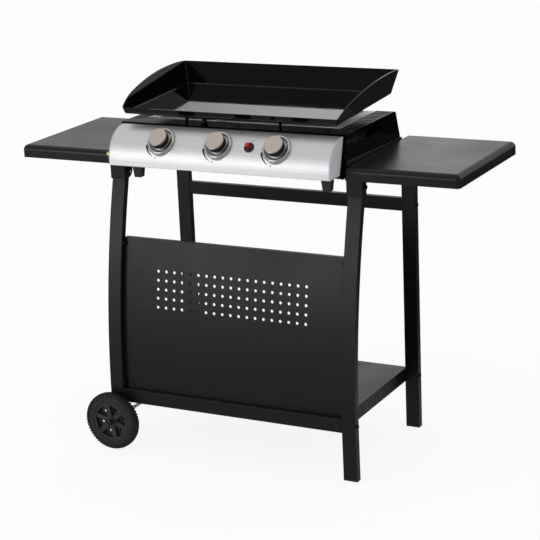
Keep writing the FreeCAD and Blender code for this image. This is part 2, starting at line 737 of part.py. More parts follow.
def front_screen():
    """A bent sheet: upper and lower edges folded back, sides folded forward, and a field of holes."""
    low, high = SCREEN_FOOT, "screen_top"
    near, far = "(screen_inset - screen_fold)", "(screen_inset + screen_fold)"
    body = prism("YZ_Plane", screen_outline(near, far, low, high), SCREEN_WIDE)
    behind = new_sketch(body, "YZ_Plane")
    draw(behind, screen_outline("(screen_inset + sheet)", "(%s + 1)" % far, "(%s + sheet)" % low,
                                "(%s - sheet)" % high))
    pocket(body, behind, SCREEN_WIDE + " + 2", reverse=None)
    ahead = new_sketch(body, "YZ_Plane")
    draw(ahead, screen_outline("(%s - 1)" % near, "screen_inset", "(%s - 1)" % low, "(%s + 1)" % high))
    pocket(body, ahead, SCREEN_WIDE + " - 2 * sheet", reverse=None)
    dot = new_sketch(body, "XZ_Plane")
    draw_circle(dot, "-(hole_columns - 1) / 2 * hole_pitch", "hole_low", "hole_radius")
    hole = pocket(body, dot, "foot_half", reverse=True)
    repeat(body, hole, dot, "H_Axis", "hole_pitch", "hole_columns", ("V_Axis", "hole_rise", "hole_rows"))
    bores = new_sketch(body, "YZ_Plane")
    for height in SCREEN_BOLTS:
        draw_circle(bores, leg_middle(height, True), height, "bolt_radius + slip")
    pocket(body, bores)
    return body


keep(front_screen(), "front_screen")

SHELF_FRONT = "(0 - foot_half)"
SHELF_LOW = "(shelf_top - shelf_skirt)"
SHELF_WIDE = "(2 * leg_in - 2 * side_gap)"


def lower_shelf():
    """A tray with its edges folded down, between the four legs."""
    outer = box("side_gap - leg_in", SHELF_FRONT, SHELF_LOW, SHELF_WIDE,
                "shelf_rear + foot_half", "shelf_skirt")
    inner = box("side_gap - leg_in + sheet", SHELF_FRONT + " + sheet", SHELF_LOW + " - 1",
                SHELF_WIDE + " - 2 * sheet", "shelf_rear + foot_half - 2 * sheet",
                "shelf_skirt + 1 - sheet")
    tray = cut(outer, inner)
    rounded = DOC.addObject("Part::Fillet", "rounded")
    rounded.Base = tray
    DOC.recompute()
    low, high = number("-leg_in + 1"), number("leg_in - 1")
    edges = []
    for index, edge in enumerate(tray.Shape.Edges):
        bounds = edge.BoundBox
        along_x = bounds.XLength > high - low - 10
        on_top = level(edge, number("shelf_top"))
        if along_x and on_top:
            edges.append((index + 1, number("sheet"), number("sheet")))
    rounded.Edges = edges
    return rounded


SHELF = lower_shelf()
SHELF_BORES = [cylinder("bolt_radius + slip", "2 * leg_in", "0 - leg_in", SHELF_BOLT_Y[is_front],
                        SHELF_BOLT_Z, X_AXIS) for is_front in (True, False)]
keep(cut(SHELF, *SHELF_BORES), "lower_shelf")

BAR_FRONT = "(foot_half - tube_depth + rear_lean * bar_low / leg_top + 1.5)"


def rear_crossbar():
    """A flat box tube between the rear legs."""
    outer = box("side_gap - leg_in", BAR_FRONT, "bar_low", SHELF_WIDE, "bar_deep", "bar_high - bar_low")
    inner = box("side_gap - leg_in - 1", BAR_FRONT + " + tube_wall", "bar_low + tube_wall",
                SHELF_WIDE + " + 2", "bar_deep - 2 * tube_wall", "bar_high - bar_low - 2 * tube_wall")
    return cut(outer, inner)


keep(rear_crossbar(), "rear_crossbar")

# Axle and wheels

AXLE_HALF = "(foot_half + wheel_gap + wheel_width)"
keep(cylinder("axle_radius", "2 * %s" % AXLE_HALF, "-axle_side", "0 - %s" % AXLE_HALF,
              "wheel_radius", Y_AXIS), "axle")


def hub():
    """A hub about +Z: rim, six tapered spokes, a thin web with six holes and a bored boss."""
    half = "wheel_width / 2"
    rim = "(rim_radius - 5)"
    body = new_body()
    outline = new_sketch(body, "XZ_Plane")
    draw(outline, [("axle_radius + axle_fit", "0 - " + half), ("boss_radius", "0 - " + half),
                   ("boss_radius", "web_inset - " + half), (rim, "web_inset - " + half),
                   (rim, "2 - " + half), ("rim_radius", "2 - " + half),
                   ("rim_radius", half + " - 2"), (rim, half + " - 2"),
                   (rim, half + " - web_inset - 6"), ("boss_radius", half + " - web_inset - 6"),
                   ("boss_radius", half), ("axle_radius + axle_fit", half)])
    revolve(body, outline)
    foot = new_sketch(body, "XY_Plane", half + " - web_inset - 6 - 0.5")
    draw(foot, [("boss_radius - 4", "0 - spoke_width / 2 - 1.5"), (rim + " + 2", "0 - spoke_width / 2"),
                (rim + " + 2", "spoke_width / 2"), ("boss_radius - 4", "spoke_width / 2 + 1.5")])
    spoke = pad(body, foot, "web_inset + 2.5")
    spokes = body.newObject("PartDesign::PolarPattern", "spokes")
    spokes.Originals = [spoke]
    spokes.Axis = (foot, ["N_Axis"])
    spokes.Angle = 360
    spokes.Occurrences = 6
    body.Tip = spokes
    DOC.recompute()
    dot = new_sketch(body, "XY_Plane")
    draw_circle(dot, "web_hole_place * cos(30)", "web_hole_place * sin(30)", "web_hole_radius")
    hole = pocket(body, dot)
    holes = body.newObject("PartDesign::PolarPattern", "holes")
    holes.Originals = [hole]
    holes.Axis = (dot, ["N_Axis"])
    holes.Angle = 360
    holes.Occurrences = 6
    body.Tip = holes
    DOC.recompute()
    return body


def tyre():
    """A tyre about +Z with a rounded tread."""
    half = "wheel_width / 2"
    return spun([("rim_radius + 0.3", "2 - " + half), ("rim_radius + 3", "0 - " + half),
                 ("wheel_radius - 4", "0 - " + half), ("wheel_radius - tread_bow", "3.4 - " + half, "3.6", 1),
                 ("wheel_radius - tread_bow", half + " - 3.4", "66.2", 1),
                 ("wheel_radius - 4", half, "3.6", 1), ("rim_radius + 3", half),
                 ("rim_radius + 0.3", half + " - 2")])


WHEEL_MIDDLE = "(foot_half + wheel_gap + wheel_width / 2)"
for wheel_name, way in (("front", "-1"), ("rear", "1")):
    facing = VECTOR(0, int(way), 0)
    for piece, part_name in ((hub(), "hub"), (tyre(), "tyre")):
        turned = FreeCAD.Rotation(Z_AXIS, facing).multiply(FreeCAD.Rotation(Z_AXIS, 42))
        piece.Placement = FreeCAD.Placement(VECTOR(), turned)
        place(piece, "-axle_side", "%s * %s" % (way, WHEEL_MIDDLE), "wheel_radius")
        keep(piece, "%s_%s" % (part_name, wheel_name))


def axle_nut(way):
    """A domed nut on the end of the axle, and a collar between the wheel and the leg."""
    outer = AXLE_HALF if way > 0 else "0 - %s - nut_height" % AXLE_HALF
    start = "foot_half + rear_lean * wheel_radius / leg_top + slip" if way > 0 else None
    nut = cylinder("nut_radius", "nut_height", "-axle_side", outer, "wheel_radius", Y_AXIS)
    gap = "wheel_gap - 0.4"
    if start:
        ring = cylinder("nut_radius", "wheel_gap - 0.3 - rear_lean * wheel_radius / leg_top - slip",
                        "-axle_side", start, "wheel_radius", Y_AXIS)
    else:
        ring = cylinder("nut_radius", gap + " + 0.1", "-axle_side", "0 - foot_half - wheel_gap + 0.3",
                        "wheel_radius", Y_AXIS)
    bore = cylinder("axle_radius", "60", "-axle_side",
                    "foot_half - 10" if way > 0 else "0 - foot_half - 50", "wheel_radius", Y_AXIS)
    return nut, cut(ring, bore)


NUTS = []
for way_sign in (-1, 1):
    dome, collar = axle_nut(way_sign)
    rounded_nut = DOC.addObject("Part::Fillet", "domed")
    rounded_nut.Base = dome
    DOC.recompute()
    outer_face = max(dome.Shape.Edges, key=lambda edge: abs(edge.BoundBox.YMax) if len(edge.Vertexes) == 1 else 0)
    outer_index = [index for index, edge in enumerate(dome.Shape.Edges) if edge.isSame(outer_face)][0]
    rounded_nut.Edges = [(outer_index + 1, number("nut_height") * 0.5, number("nut_height") * 0.5)]
    NUTS += [rounded_nut, collar]
keep(together(*NUTS), "wheel_nuts")


# Bolts of the stand

def bolt(x, y, z, way, reach, through="0"):
    """A bolt along X with its head outwards of x, and a nut on its far end where it goes through."""
    head = cylinder("bolt_head", "head_high", x, y, z, VECTOR(way, 0, 0))
    shank = cylinder("bolt_radius", reach, x, y, z, VECTOR(-way, 0, 0))
    if through == "0":
        return fused(head, shank)
    nut_x = "%s - %d * (%s)" % (x, way, through)
    return fused(head, shank, cylinder("bolt_head", "head_high", nut_x, y, z, VECTOR(-way, 0, 0)))


BOLTS = []
for way_sign, side_name in ((1, "1"), (-1, "-1")):
    for is_front in (True, False):
        across = "tube_width + 2 * bracket_wall + 2 * slip"
        bracket_face = "%s * (leg_out + slip + bracket_wall)" % side_name
        BOLTS.append(bolt(bracket_face, leg_middle("bracket_bolt_z", is_front), "bracket_bolt_z", way_sign,
                          across + " + head_high + 1", across))
        BOLTS.append(bolt("%s * leg_out" % side_name, SHELF_BOLT_Y[is_front], SHELF_BOLT_Z,
                          way_sign, "tube_width + side_gap + sheet + head_high + 1",
                          "tube_width + side_gap + sheet"))
    BOLTS.append(bolt("%s * leg_out" % side_name, leg_middle(BAR_BOLT_Z, False), BAR_BOLT_Z, way_sign,
                      "tube_width + 25"))
    for height in SCREEN_BOLTS:
        BOLTS.append(bolt("%s * (leg_in - side_gap - sheet)" % side_name, leg_middle(height, True), height,
                          -way_sign, "12"))
keep(together(*BOLTS), "frame_bolts")

# Housing of the griddle unit

def wall(z, ahead="0"):
    """Where the sloping front wall is at a height."""
    return "(front_low + slope * (%s - body_low) - %s)" % (z, ahead)


def side_panel():
    """A side of the housing with a vented strip along its top and a tab that hangs beside the rail."""
    body = new_body()
    outline = new_sketch(body, "YZ_Plane", "body_half - sheet")
    draw(outline, [("front_low", "body_low"), ("tab_front", "body_low"), ("tab_front", "tab_low"),
                   ("tab_rear", "tab_low"), ("tab_rear", "body_low"), ("rear_low", "body_low"),
                   ("rear_top", "body_top - rear_round"),
                   ("rear_top - rear_round", "body_top", "rear_round", 1), ("front_top", "body_top")])
    pad(body, outline, "sheet")
    strip = new_sketch(body, "XY_Plane", "body_top - sheet")
    draw(strip, rectangle("body_half - flange", "front_top + front_flange + 0.3", "body_half - sheet / 2",
                          "rear_top - rear_round"))
    pad(body, strip, "sheet")
    slot = new_sketch(body, "XY_Plane")
    inner = "body_half - flange + vent_inset"
    draw(slot, rectangle(inner, "vent_first", inner + " + vent_long", "vent_first + vent_wide"))
    vent = pocket(body, slot)
    repeat(body, vent, slot, "V_Axis", "vent_pitch", "vents")
    grip = new_sketch(body, "YZ_Plane")
    draw(grip, [("grip_front", "grip_high - 3"), ("grip_front + 56", "grip_low"),
                ("grip_front + 113", "grip_low"), ("grip_front + 122", "grip_low - grip_step"),
                ("grip_front + 127", "grip_low - grip_step"), ("grip_front + 138", "grip_low + 0.5"),
                ("grip_rear - 9", "grip_low + 1"), ("grip_rear", "grip_high - 5"),
                ("grip_rear - 4", "grip_high"), ("grip_front + 4", "grip_high")])
    pocket(body, grip)
    bores = new_sketch(body, "YZ_Plane")
    for y in UNIT_SCREWS:
        draw_circle(bores, y, "tab_low + hang_up", "screw_radius + slip")
    for y in TABLE_SCREWS:
        draw_circle(bores, y, "table_under + table_screw", "screw_radius + slip")
    pocket(body, bores)
    return body


RIGHT_SIDE = side_panel()
keep(mirrored(RIGHT_SIDE), "side_panel_left")
keep(RIGHT_SIDE, "side_panel_right")
INSIDE = "(body_half - sheet - 0.3)"


def front_rail():
    """The front wall of the housing, folded back along its top."""
    foot = "(body_low + 4)"
    lower, upper = "(%s + sheet * 1.05)" % wall(foot), "(%s + sheet * 1.05)" % wall("(body_top - sheet)")
    body = prism("YZ_Plane", [(wall(foot), foot), (lower, foot), (upper, "body_top - sheet"),
                              ("front_top + front_deep", "body_top - sheet"),
                              ("front_top + front_deep", "body_top"), (wall("body_top"), "body_top")],
                 "2 * " + INSIDE)
    notches = new_sketch(body, "XY_Plane")
    for side in ("-1", "1"):
        inner, outer = side + " * (body_half - flange - 0.3)", side + " * (body_half + 1)"
        edges = (inner, outer) if side == "1" else (outer, inner)
        draw(notches, rectangle(edges[0], "front_top + front_flange", edges[1], "front_top + front_deep + 1"))
    pocket(body, notches)
    windows = new_sketch(body, "XZ_Plane")
    for spot in ("0 - knob_pitch", "0", "knob_pitch"):
        draw_circle(windows, spot, "burner_z", "throat_radius + 4")
    pocket(body, windows, "0 - front_low + 5", reverse=True)
    drain = new_sketch(body, "XY_Plane")
    draw_circle(drain, "drain_x", "drain_y", "funnel_radius + sheet + 0.3")
    pocket(body, drain)
    return body


keep(front_rail(), "front_rail")


def back(z, ahead="0"):
    """Where the sloping rear edge of the housing is at a height."""
    return ("(rear_low - (rear_low - rear_top) * (%s - body_low) / (body_top - rear_round - body_low) - %s)"
            % (z, ahead))


def rear_panel():
    """The rear wall of the housing, folded forward along its top."""
    foot, knee = "(body_low + 1)", "(body_top - rear_round - 3)"
    under = "(body_top - sheet - 0.3)"
    body = prism("YZ_Plane", [
        (back(foot, "2"), foot), (back(knee, "2"), knee), ("rear_top - rear_round - 1", under),
        ("tub_rear + 1.5", under), ("tub_rear + 1.5", under + " - sheet"),
        ("rear_top - rear_round - 1.6", under + " - sheet"), (back(knee, "2 - sheet * 1.04"), knee),
        (back(foot, "2 - sheet * 1.04"), foot)], "2 * " + INSIDE)
    return body


keep(rear_panel(), "rear_panel")


def base_pan():
    """The bottom of the housing: a shallow tray with a hole for the grease pipe."""
    start, long = "(front_low + 5.5)", "(rear_low - front_low - 14)"
    outer = box("0 - %s" % INSIDE, start, "body_low + 0.5", "2 * " + INSIDE, long, "pan_deep")
    inner = box("sheet - %s" % INSIDE, start + " + sheet", "body_low + 0.5 + sheet",
                "2 * %s - 2 * sheet" % INSIDE, long + " - 2 * sheet", "20")
    outlet = cylinder("funnel_radius + sheet + 0.3", "30", "drain_x", "drain_y", "body_low - 10")
    return cut(outer, inner, outlet)


keep(base_pan(), "base_pan")


def burner_tub():
    """A bright tray round the burners, hung by its rim, with a bar that carries the burner ends."""
    rim_low = "(body_top + 0.2)"
    deep = "(body_top + 0.2 - tub_low)"
    outer = box("0 - tub_half", "tub_front", "tub_low", "2 * tub_half", "tub_rear - tub_front", deep)
    rim = box("0 - tub_half - tub_rim", "tub_front - 6", rim_low, "2 * (tub_half + tub_rim)",
              "tub_rear - tub_front + 12", "sheet")
    inner = box("sheet - tub_half", "tub_front + sheet", "tub_low + sheet", "2 * (tub_half - sheet)",
                "tub_rear - tub_front - 2 * sheet", deep + " + 10")
    bores = []
    for spot in ("0 - knob_pitch", "0", "knob_pitch"):
        bores.append(cylinder("throat_radius + 0.3", "20", spot, "tub_front - 10", "burner_z", Y_AXIS))
    bores.append(cylinder("spark_radius + 0.2", "20", "spark_x", "tub_front - 10", "spark_z", Y_AXIS))
    hanger = box("0 - tub_half + 10", "burner_rear - 20", "tub_low + sheet - 0.01", "2 * (tub_half - 10)",
                 "10", "burner_z - burner_radius - 0.3 - (tub_low + sheet - 0.01)")
    return fused(cut(fused(outer, rim), inner, *bores), hanger)


keep(burner_tub(), "burner_tub")

# Control panel

def panel_outline(inset, rear_low, rear_high):
    """The folded and curved profile of the panel, set in by inset, between two rear ends."""
    radius = "panel_round - %s" % inset
    return [(rear_low, "panel_low + %s" % inset), ("panel_front + %s" % inset, "panel_low + %s" % inset),
            ("panel_front + %s" % inset, "arc_z"), ("arc_y", "panel_high - %s" % inset, radius, -1),
            (rear_high, "panel_high - %s" % inset)]


PANEL_HALF = "(panel_half - panel_end - 0.2)"


def control_panel():
    """A curved steel sheet, open at the rear, with holes for the valve stems and the igniter."""
    outer = panel_outline("0", "panel_front + panel_return", wall("panel_high", "0.6"))
    inner = panel_outline("sheet", "panel_front + panel_return", wall("panel_high", "0.6"))
    return prism("YZ_Plane", outer + reversed_outline(inner), "2 * " + PANEL_HALF)


def reversed_outline(corners):
    """The same outline drawn the other way round, as the inner side of a sheet."""
    turned = []
    for index in range(len(corners) - 1, -1, -1):
        corner = corners[index]
        after = corners[index + 1] if index + 1 < len(corners) else None
        if after is not None and len(after) == 4:
            turned.append((corner[0], corner[1], after[2], -after[3]))
        else:
            turned.append((corner[0], corner[1]))
    return turned


PANEL = control_panel()
PANEL_BORES = []
for spot in ("0 - knob_pitch", "0", "knob_pitch"):
    bore_tool = cylinder("stem_hole", "20", "0", "0", "0")
    turned_up(bore_tool, spot, "-10")
    PANEL_BORES.append(bore_tool)
igniter_bore = cylinder("socket_radius - 2.8", "20", "0", "0", "0")
turned_up(igniter_bore, "igniter_side", "-10")
PANEL_BORES.append(igniter_bore)
keep(cut(PANEL, *PANEL_BORES), "control_panel")


def panel_end(side):
    """A flat pale cap that closes one end of the panel."""
    outline = panel_outline("0", wall("panel_low", "0.6"), wall("panel_high", "0.6"))
    body = prism("YZ_Plane", outline, "panel_end", "%s * (panel_half - panel_end / 2)" % side)
    if side == "-1":
        bore = new_sketch(body, "YZ_Plane")
        draw_circle(bore, "pipe_y", "pipe_z", "pipe_radius + 0.5")
        pocket(body, bore)
    return body


keep(panel_end("-1"), "panel_end_left")
keep(panel_end("1"), "panel_end_right")

# Gas train

KNOBS = (("left", "0 - knob_pitch"), ("centre", "0"), ("right", "knob_pitch"))
VALVE_END_Y = "(knob_y + valve_far * cos(knob_angle))"
VALVE_Z = "(knob_z - valve_mid * sin(knob_angle))"
VALVE_Y = "(knob_y + valve_mid * cos(knob_angle))"


def along(thing, x, depth):
    """Stand an object, built along +Z, on a knob's axis at a depth behind the panel."""
    turned_up(thing, x, "0 - (%s)" % depth)


for name, spot in KNOBS:
    barrel = cylinder("valve_radius", "valve_far - valve_near", "0", "0", "0")
    along(barrel, spot, "valve_far")
    flange = cylinder("valve_flange", "2.4", "0", "0", "0")
    seat = "(panel_round - sqrt(pow(panel_round - sheet; 2) - pow(valve_flange; 2)) + 0.3)"
    along(flange, spot, seat + " + 2.4")
    neck = cylinder("valve_radius", "valve_near", "0", "0", "0")
    along(neck, spot, "valve_near + 2")
    bore = cylinder("stem_radius + stem_fit", "valve_far", "0", "0", "0")
    along(bore, spot, "valve_far - 6")
    outlet = cylinder("spud_radius", "spud_end - %s" % VALVE_Y, spot, VALVE_Y, "burner_z", Y_AXIS)
    saddle = cylinder("spud_radius + 1", "%s - pipe_z" % VALVE_Z, spot, "pipe_y + 2", "pipe_z", Z_AXIS)
    clear = cylinder("pipe_radius + 0.3", "60", "(%s) - 30" % spot, "pipe_y", "pipe_z", X_AXIS)
    keep(cut(fused(barrel, flange, neck, outlet, saddle), bore, clear), "valve_%s" % name)

    rod = cylinder("stem_radius", "stem_out + valve_far - 7", "0", "0", "0")
    along(rod, spot, "valve_far - 7")
    flat = box("0", "0", "0", "2 * stem_radius", "4 * stem_radius", "stem_out + 1")
    flat.Placement = FreeCAD.Placement(VECTOR(), FreeCAD.Rotation(X_AXIS, 90 - number("knob_angle")))
    bind(flat, Placement__Rotation__Angle="90 - knob_angle")
    place(flat, "(%s) + stem_radius - stem_flat" % spot,
          "knob_y - 2 * cos(knob_angle) - 2 * stem_radius * sin(knob_angle)",
          "knob_z + 2 * sin(knob_angle) - 2 * stem_radius * cos(knob_angle)")
    keep(cut(rod, flat), "valve_stem_%s" % name)

MANIFOLD_END = "(knob_pitch + 40)"
pipe = cylinder("pipe_radius", "%s + panel_half - 8" % MANIFOLD_END, "8 - panel_half", "pipe_y", "pipe_z", X_AXIS)
hollow_pipe = cylinder("pipe_radius - 1.5", "%s + panel_half - 8" % MANIFOLD_END, "6 - panel_half", "pipe_y",
                       "pipe_z", X_AXIS)
keep(cut(pipe, hollow_pipe), "gas_manifold")

tail = fused(cylinder("inlet_radius", "inlet_out", "0 - panel_half - inlet_out", "pipe_y", "pipe_z", X_AXIS),
             cylinder("pipe_radius - 1.8", "18", "0 - panel_half - 2", "pipe_y", "pipe_z", X_AXIS))
hexagon = DOC.addObject("Part::Prism", "hexagon")
hexagon.Polygon = 6
hexagon.Placement = FreeCAD.Placement(VECTOR(), FreeCAD.Rotation(Z_AXIS, X_AXIS))
bind(hexagon, Circumradius="pipe_radius + 1", Height="8")
place(hexagon, "0 - panel_half - 9", "pipe_y", "pipe_z")
bore = cylinder("inlet_radius - 2", "inlet_out + 30", "0 - panel_half - inlet_out - 1", "pipe_y", "pipe_z", X_AXIS)
keep(cut(fused(tail, hexagon), bore), "gas_inlet")


def burner():
    """A tube burner about the origin, along +Y: open throat, round body and two rows of ports."""
    throat = cylinder("throat_radius", "burner_front - throat_front", "0", "throat_front", "0", Y_AXIS)
    neck = cone("throat_radius", "burner_radius", "12", "0", "burner_front - 0.01", "0", Y_AXIS)
    tube = cylinder("burner_radius", "burner_rear - burner_front - 12", "0", "burner_front + 11.9", "0", Y_AXIS)
    inner_throat = cylinder("throat_radius - 1", "burner_front - throat_front + 2", "0", "throat_front - 1",
                            "0", Y_AXIS)
    inner_neck = cone("throat_radius - 1", "burner_radius - 1", "12", "0", "burner_front - 0.01", "0", Y_AXIS)
    inner_tube = cylinder("burner_radius - 1", "burner_rear - burner_front - 13", "0", "burner_front + 11.9",
                          "0", Y_AXIS)
    return cut(fused(throat, neck, tube), fused(inner_throat, inner_neck, inner_tube))


def ported(blank):
    """Add the rows of flame ports on both shoulders of a burner."""
    tools = []
    for lean in (-40, 40):
        first = cylinder("port_radius", "burner_radius + 5", "0", "burner_front + 28", "0")
        first.Placement = FreeCAD.Placement(VECTOR(), FreeCAD.Rotation(Y_AXIS, lean))
        place(first, "0", "burner_front + 28", "0")
        row = [first]
        for index in range(1, int(number("ports"))):
            another = cylinder("port_radius", "burner_radius + 5", "0", "0", "0")
            another.Placement = FreeCAD.Placement(VECTOR(), FreeCAD.Rotation(Y_AXIS, lean))
            place(another, "0", "burner_front + 28 + %d * port_pitch" % index, "0")
            row.append(another)
        tools += row
    return cut(blank, together(*tools))


for name, spot in KNOBS:
    tube = ported(burner())
    place(tube, spot, "0", "burner_z")
    keep(tube, "burner_%s" % name)

insulator = cylinder("spark_radius", "burner_front + 14 - (tub_front - 12)", "spark_x", "tub_front - 12",
                     "spark_z", Y_AXIS)
wire = cylinder("0.9", "18", "spark_x", "burner_front + 10", "spark_z", Y_AXIS)
tip = cylinder("0.9", "5", "spark_x", "burner_front + 27", "spark_z - 4.5", Z_AXIS)
keep(fused(insulator, wire, tip), "spark_electrode")

# Knobs

BEZELS = []
for name, spot in KNOBS:
    socket = "stem_radius + stem_fit"
    knob = spun([(socket, "skirt_low"), ("skirt_radius", "skirt_low"), ("skirt_radius", "skirt_high - 1"),
                 ("skirt_radius - 1", "skirt_high"), ("grip_radius", "skirt_high"),
                 ("grip_radius - 0.5", "cap_low - 0.1"), ("6", "cap_low - 0.1"),
                 ("0", "cap_low - 0.1"), ("0", "stem_out + knob_push + 0.5"),
                 (socket, "stem_out + knob_push + 0.5")])
    turned_up(knob, spot)
    keep(knob, "knob_%s" % name)
    disc = spun([("0", "cap_low"), ("cap_radius - 1", "cap_low"), ("cap_radius", "cap_low + 1", "1", 1),
                 ("cap_radius", "cap_high - 2"), ("cap_radius - 2", "cap_high", "2", 1), ("0", "cap_high")])
    turned_up(disc, spot)
    keep(disc, "knob_cap_%s" % name)
    ring = spun([("bezel_in", "-11"), ("bezel_out", "-11"), ("bezel_out", "bezel_high - 4"),
                 ("bezel_out - 4", "bezel_high", "4", 1), ("bezel_out - 5", "bezel_high"),
                 ("bezel_in + 1", "bezel_high - 3.5"), ("bezel_in", "bezel_high - 4.5")])
    turned_up(ring, spot)
    bed = cylinder("panel_round + 0.1", "2 * panel_half", "0 - panel_half", "arc_y", "arc_z", X_AXIS)
    BEZELS.append(cut(ring, bed))
keep(together(*BEZELS), "knob_bezels")

# Igniter

socket_ring = spun([("button_head + 0.4", "-2"), ("socket_radius", "-2"), ("socket_radius", "2.2"),
                    ("socket_radius - 1", "3.2", "1", 1), ("button_head + 2.4", "3.2"),
                    ("button_head + 0.4", "1.6")])
turned_up(socket_ring, "igniter_side")
igniter_bed = cylinder("panel_round + 0.1", "2 * panel_half", "0 - panel_half", "arc_y", "arc_z", X_AXIS)
ring_on_panel = cut(socket_ring, igniter_bed)
barrel = spun([("button_radius + 0.3", "-30"), ("socket_radius - 3.1", "-30"), ("socket_radius - 3.1", "1"),
               ("button_radius + 0.3", "1")])
turned_up(barrel, "igniter_side")
closed = spun([("0", "-38"), ("socket_radius - 5", "-38"), ("socket_radius - 3.1", "-36"),
               ("socket_radius - 3.1", "-29.9"), ("0", "-29.9")])
turned_up(closed, "igniter_side")
keep(fused(ring_on_panel, barrel, closed), "igniter_body")
button = spun([("0", "0 - 24"), ("button_radius", "0 - 24"), ("button_radius", "button_travel + 3.4"),
               ("button_head", "button_travel + 3.4"), ("button_head", "15"), ("button_head - 1.6", "16.6", "1.6", 1),
               ("0", "16.6")])
turned_up(button, "igniter_side")
keep(button, "igniter_button")

# Griddle plate



def splayed_block(low, high, thick, radius):
    """A block between two of these outlines, with its floor edges and slanting corners rounded."""
    block = DOC.addObject("Part::Wedge", "wedge")
    block.Placement = FreeCAD.Placement(VECTOR(), FreeCAD.Rotation(X_AXIS, 90))
    bind(block, Ymin=low, Ymax=high)
    for height, mark in ((low, ""), (high, "2")):
        half = "(plate_half + (%s) * tan(lean_side) + (%s) / cos(lean_side))" % (height, thick)
        front = "((%s) * tan(lean_front) + (%s) / cos(lean_front))" % (height, thick)
        rear = "(plate_deep + (%s) * tan(lean_back) + (%s) / cos(lean_back))" % (height, thick)
        bind(block, **{"X%smin" % mark: "0 - " + half, "X%smax" % mark: half,
                       "Z%smin" % mark: "0 - " + rear, "Z%smax" % mark: front})
    DOC.recompute()
    floor, top = number(low), number(high)
    chosen = []
    for index, edge in enumerate(block.Shape.Edges):
        bounds = edge.BoundBox
        if abs(bounds.ZMin - floor) < 0.01 and (bounds.ZMax < floor + 0.01 or bounds.ZMax > top - 0.01):
            chosen.append((index + 1, number(radius), number(radius)))
    rounded = DOC.addObject("Part::Fillet", "rounded")
    rounded.Base = block
    rounded.Edges = chosen
    DOC.recompute()
    return rounded


def griddle_plate():
    """A pan with a low front lip and high leaning guards, about its own front fold."""
    outer = splayed_block("0 - plate_thick", "guard_top", "plate_thick", "plate_fold + plate_thick")
    inner = splayed_block("0", "guard_top + 1", "0", "plate_fold")
    far, over = "(plate_deep + 60)", "(guard_top + 40)"
    trim = prism("YZ_Plane", [
        ("0 - 60", over), ("0 - 60", "lip"), ("0 - lip * tan(lean_front)", "lip"),
        ("bow_first", "bow_low", "bow_front", -1), ("bow_second", "guard_side", "bow_middle", -1),
        (far, "guard_back - 5", "bow_rear", -1), (far, over)], "4 * plate_half")
    drain_place = "drain_y - plate_front"
    spout = cylinder("drain_radius + 1.2", "drain_spout + plate_thick - 1", "drain_x", drain_place,
                     "0 - plate_thick - drain_spout")
    drain = cylinder("drain_radius", "drain_spout + 20", "drain_x", drain_place, "0 - plate_thick - drain_spout - 1")
    plate = cut(fused(cut(outer, inner, trim), spout), drain)
    plate.Placement = FreeCAD.Placement(VECTOR(), FreeCAD.Rotation(X_AXIS, number("plate_tilt")))
    bind(plate, Placement__Rotation__Angle="plate_tilt")
    place(plate, "0", "plate_front", "plate_rise")
    return plate


keep(griddle_plate(), "griddle_plate")


def pin(x, y, floor):
    """A short post from the housing up to the underside of the plate."""
    under = "(plate_rise + (%s - plate_front) * tan(plate_tilt) - plate_thick / cos(plate_tilt))" % y
    return cylinder("pin_radius", "%s - 0.3 - (%s)" % (under, floor), x, y, floor)


FRONT_FLOOR, REAR_FLOOR = "(body_top + 0.05)", "(body_top - sheet - 0.25)"
keep(together(pin("0 - pin_side", "pin_front", FRONT_FLOOR), pin("pin_side", "pin_front", FRONT_FLOOR),
              pin("0 - pin_side", "pin_rear", REAR_FLOOR), pin("pin_side", "pin_rear", REAR_FLOOR)), "plate_pins")

# Grease drain and tray

pipe_low, pipe_high = "(body_low - 1.5)", "(body_top + 5)"
outside = cylinder("funnel_radius + sheet", "%s - %s" % (pipe_high, pipe_low), "drain_x", "drain_y", pipe_low)
inside = cylinder("funnel_radius", "%s - %s + 2" % (pipe_high, pipe_low), "drain_x", "drain_y", pipe_low + " - 1")
keep(cut(outside, inside), "grease_pipe")

tray_x, tray_long = "drain_x - (tray_half - tray_lip)", "(tray_rear - tray_front)"
rim_low = "tray_high - tray_rim"
tub = box(tray_x, "tray_front", "tray_low", "2 * (tray_half - tray_lip)", tray_long, "tray_high - tray_low")
rims = box("drain_x - tray_half", "tray_front", rim_low, "2 * tray_half", tray_long, "tray_rim")
pull = box("drain_x - tray_pull / 2", "tray_front - 6", rim_low, "tray_pull", "7", "tray_rim")
room = box(tray_x + " + tray_wall", "tray_front + tray_wall", "tray_low + tray_wall",
           "2 * (tray_half - tray_lip - tray_wall)", tray_long + " - 2 * tray_wall", "tray_high")
keep(cut(fused(tub, rims, pull), room), "grease_tray")


def runner():
    """An angle under the housing that carries one rim of the grease tray, on the right of x = 0."""
    ledge_low = "(tray_high - 2 * tray_rim - slip)"
    web = box("tray_half + run_gap", "tray_front + 4", ledge_low, "tray_rim", tray_long + " - 4",
              "body_low + 0.3 - %s" % ledge_low)
    ledge = box("tray_half - tray_lip + 0.8", "tray_front + 4", ledge_low, "tray_lip + run_gap",
                tray_long + " - 4", "tray_rim")
    return fused(web, ledge)


right_runner = runner()
left_runner = mirrored(right_runner)
PAIR = together(left_runner, right_runner)
place(PAIR, "drain_x")
keep(PAIR, "tray_runners")

# Feet and screws of the griddle unit


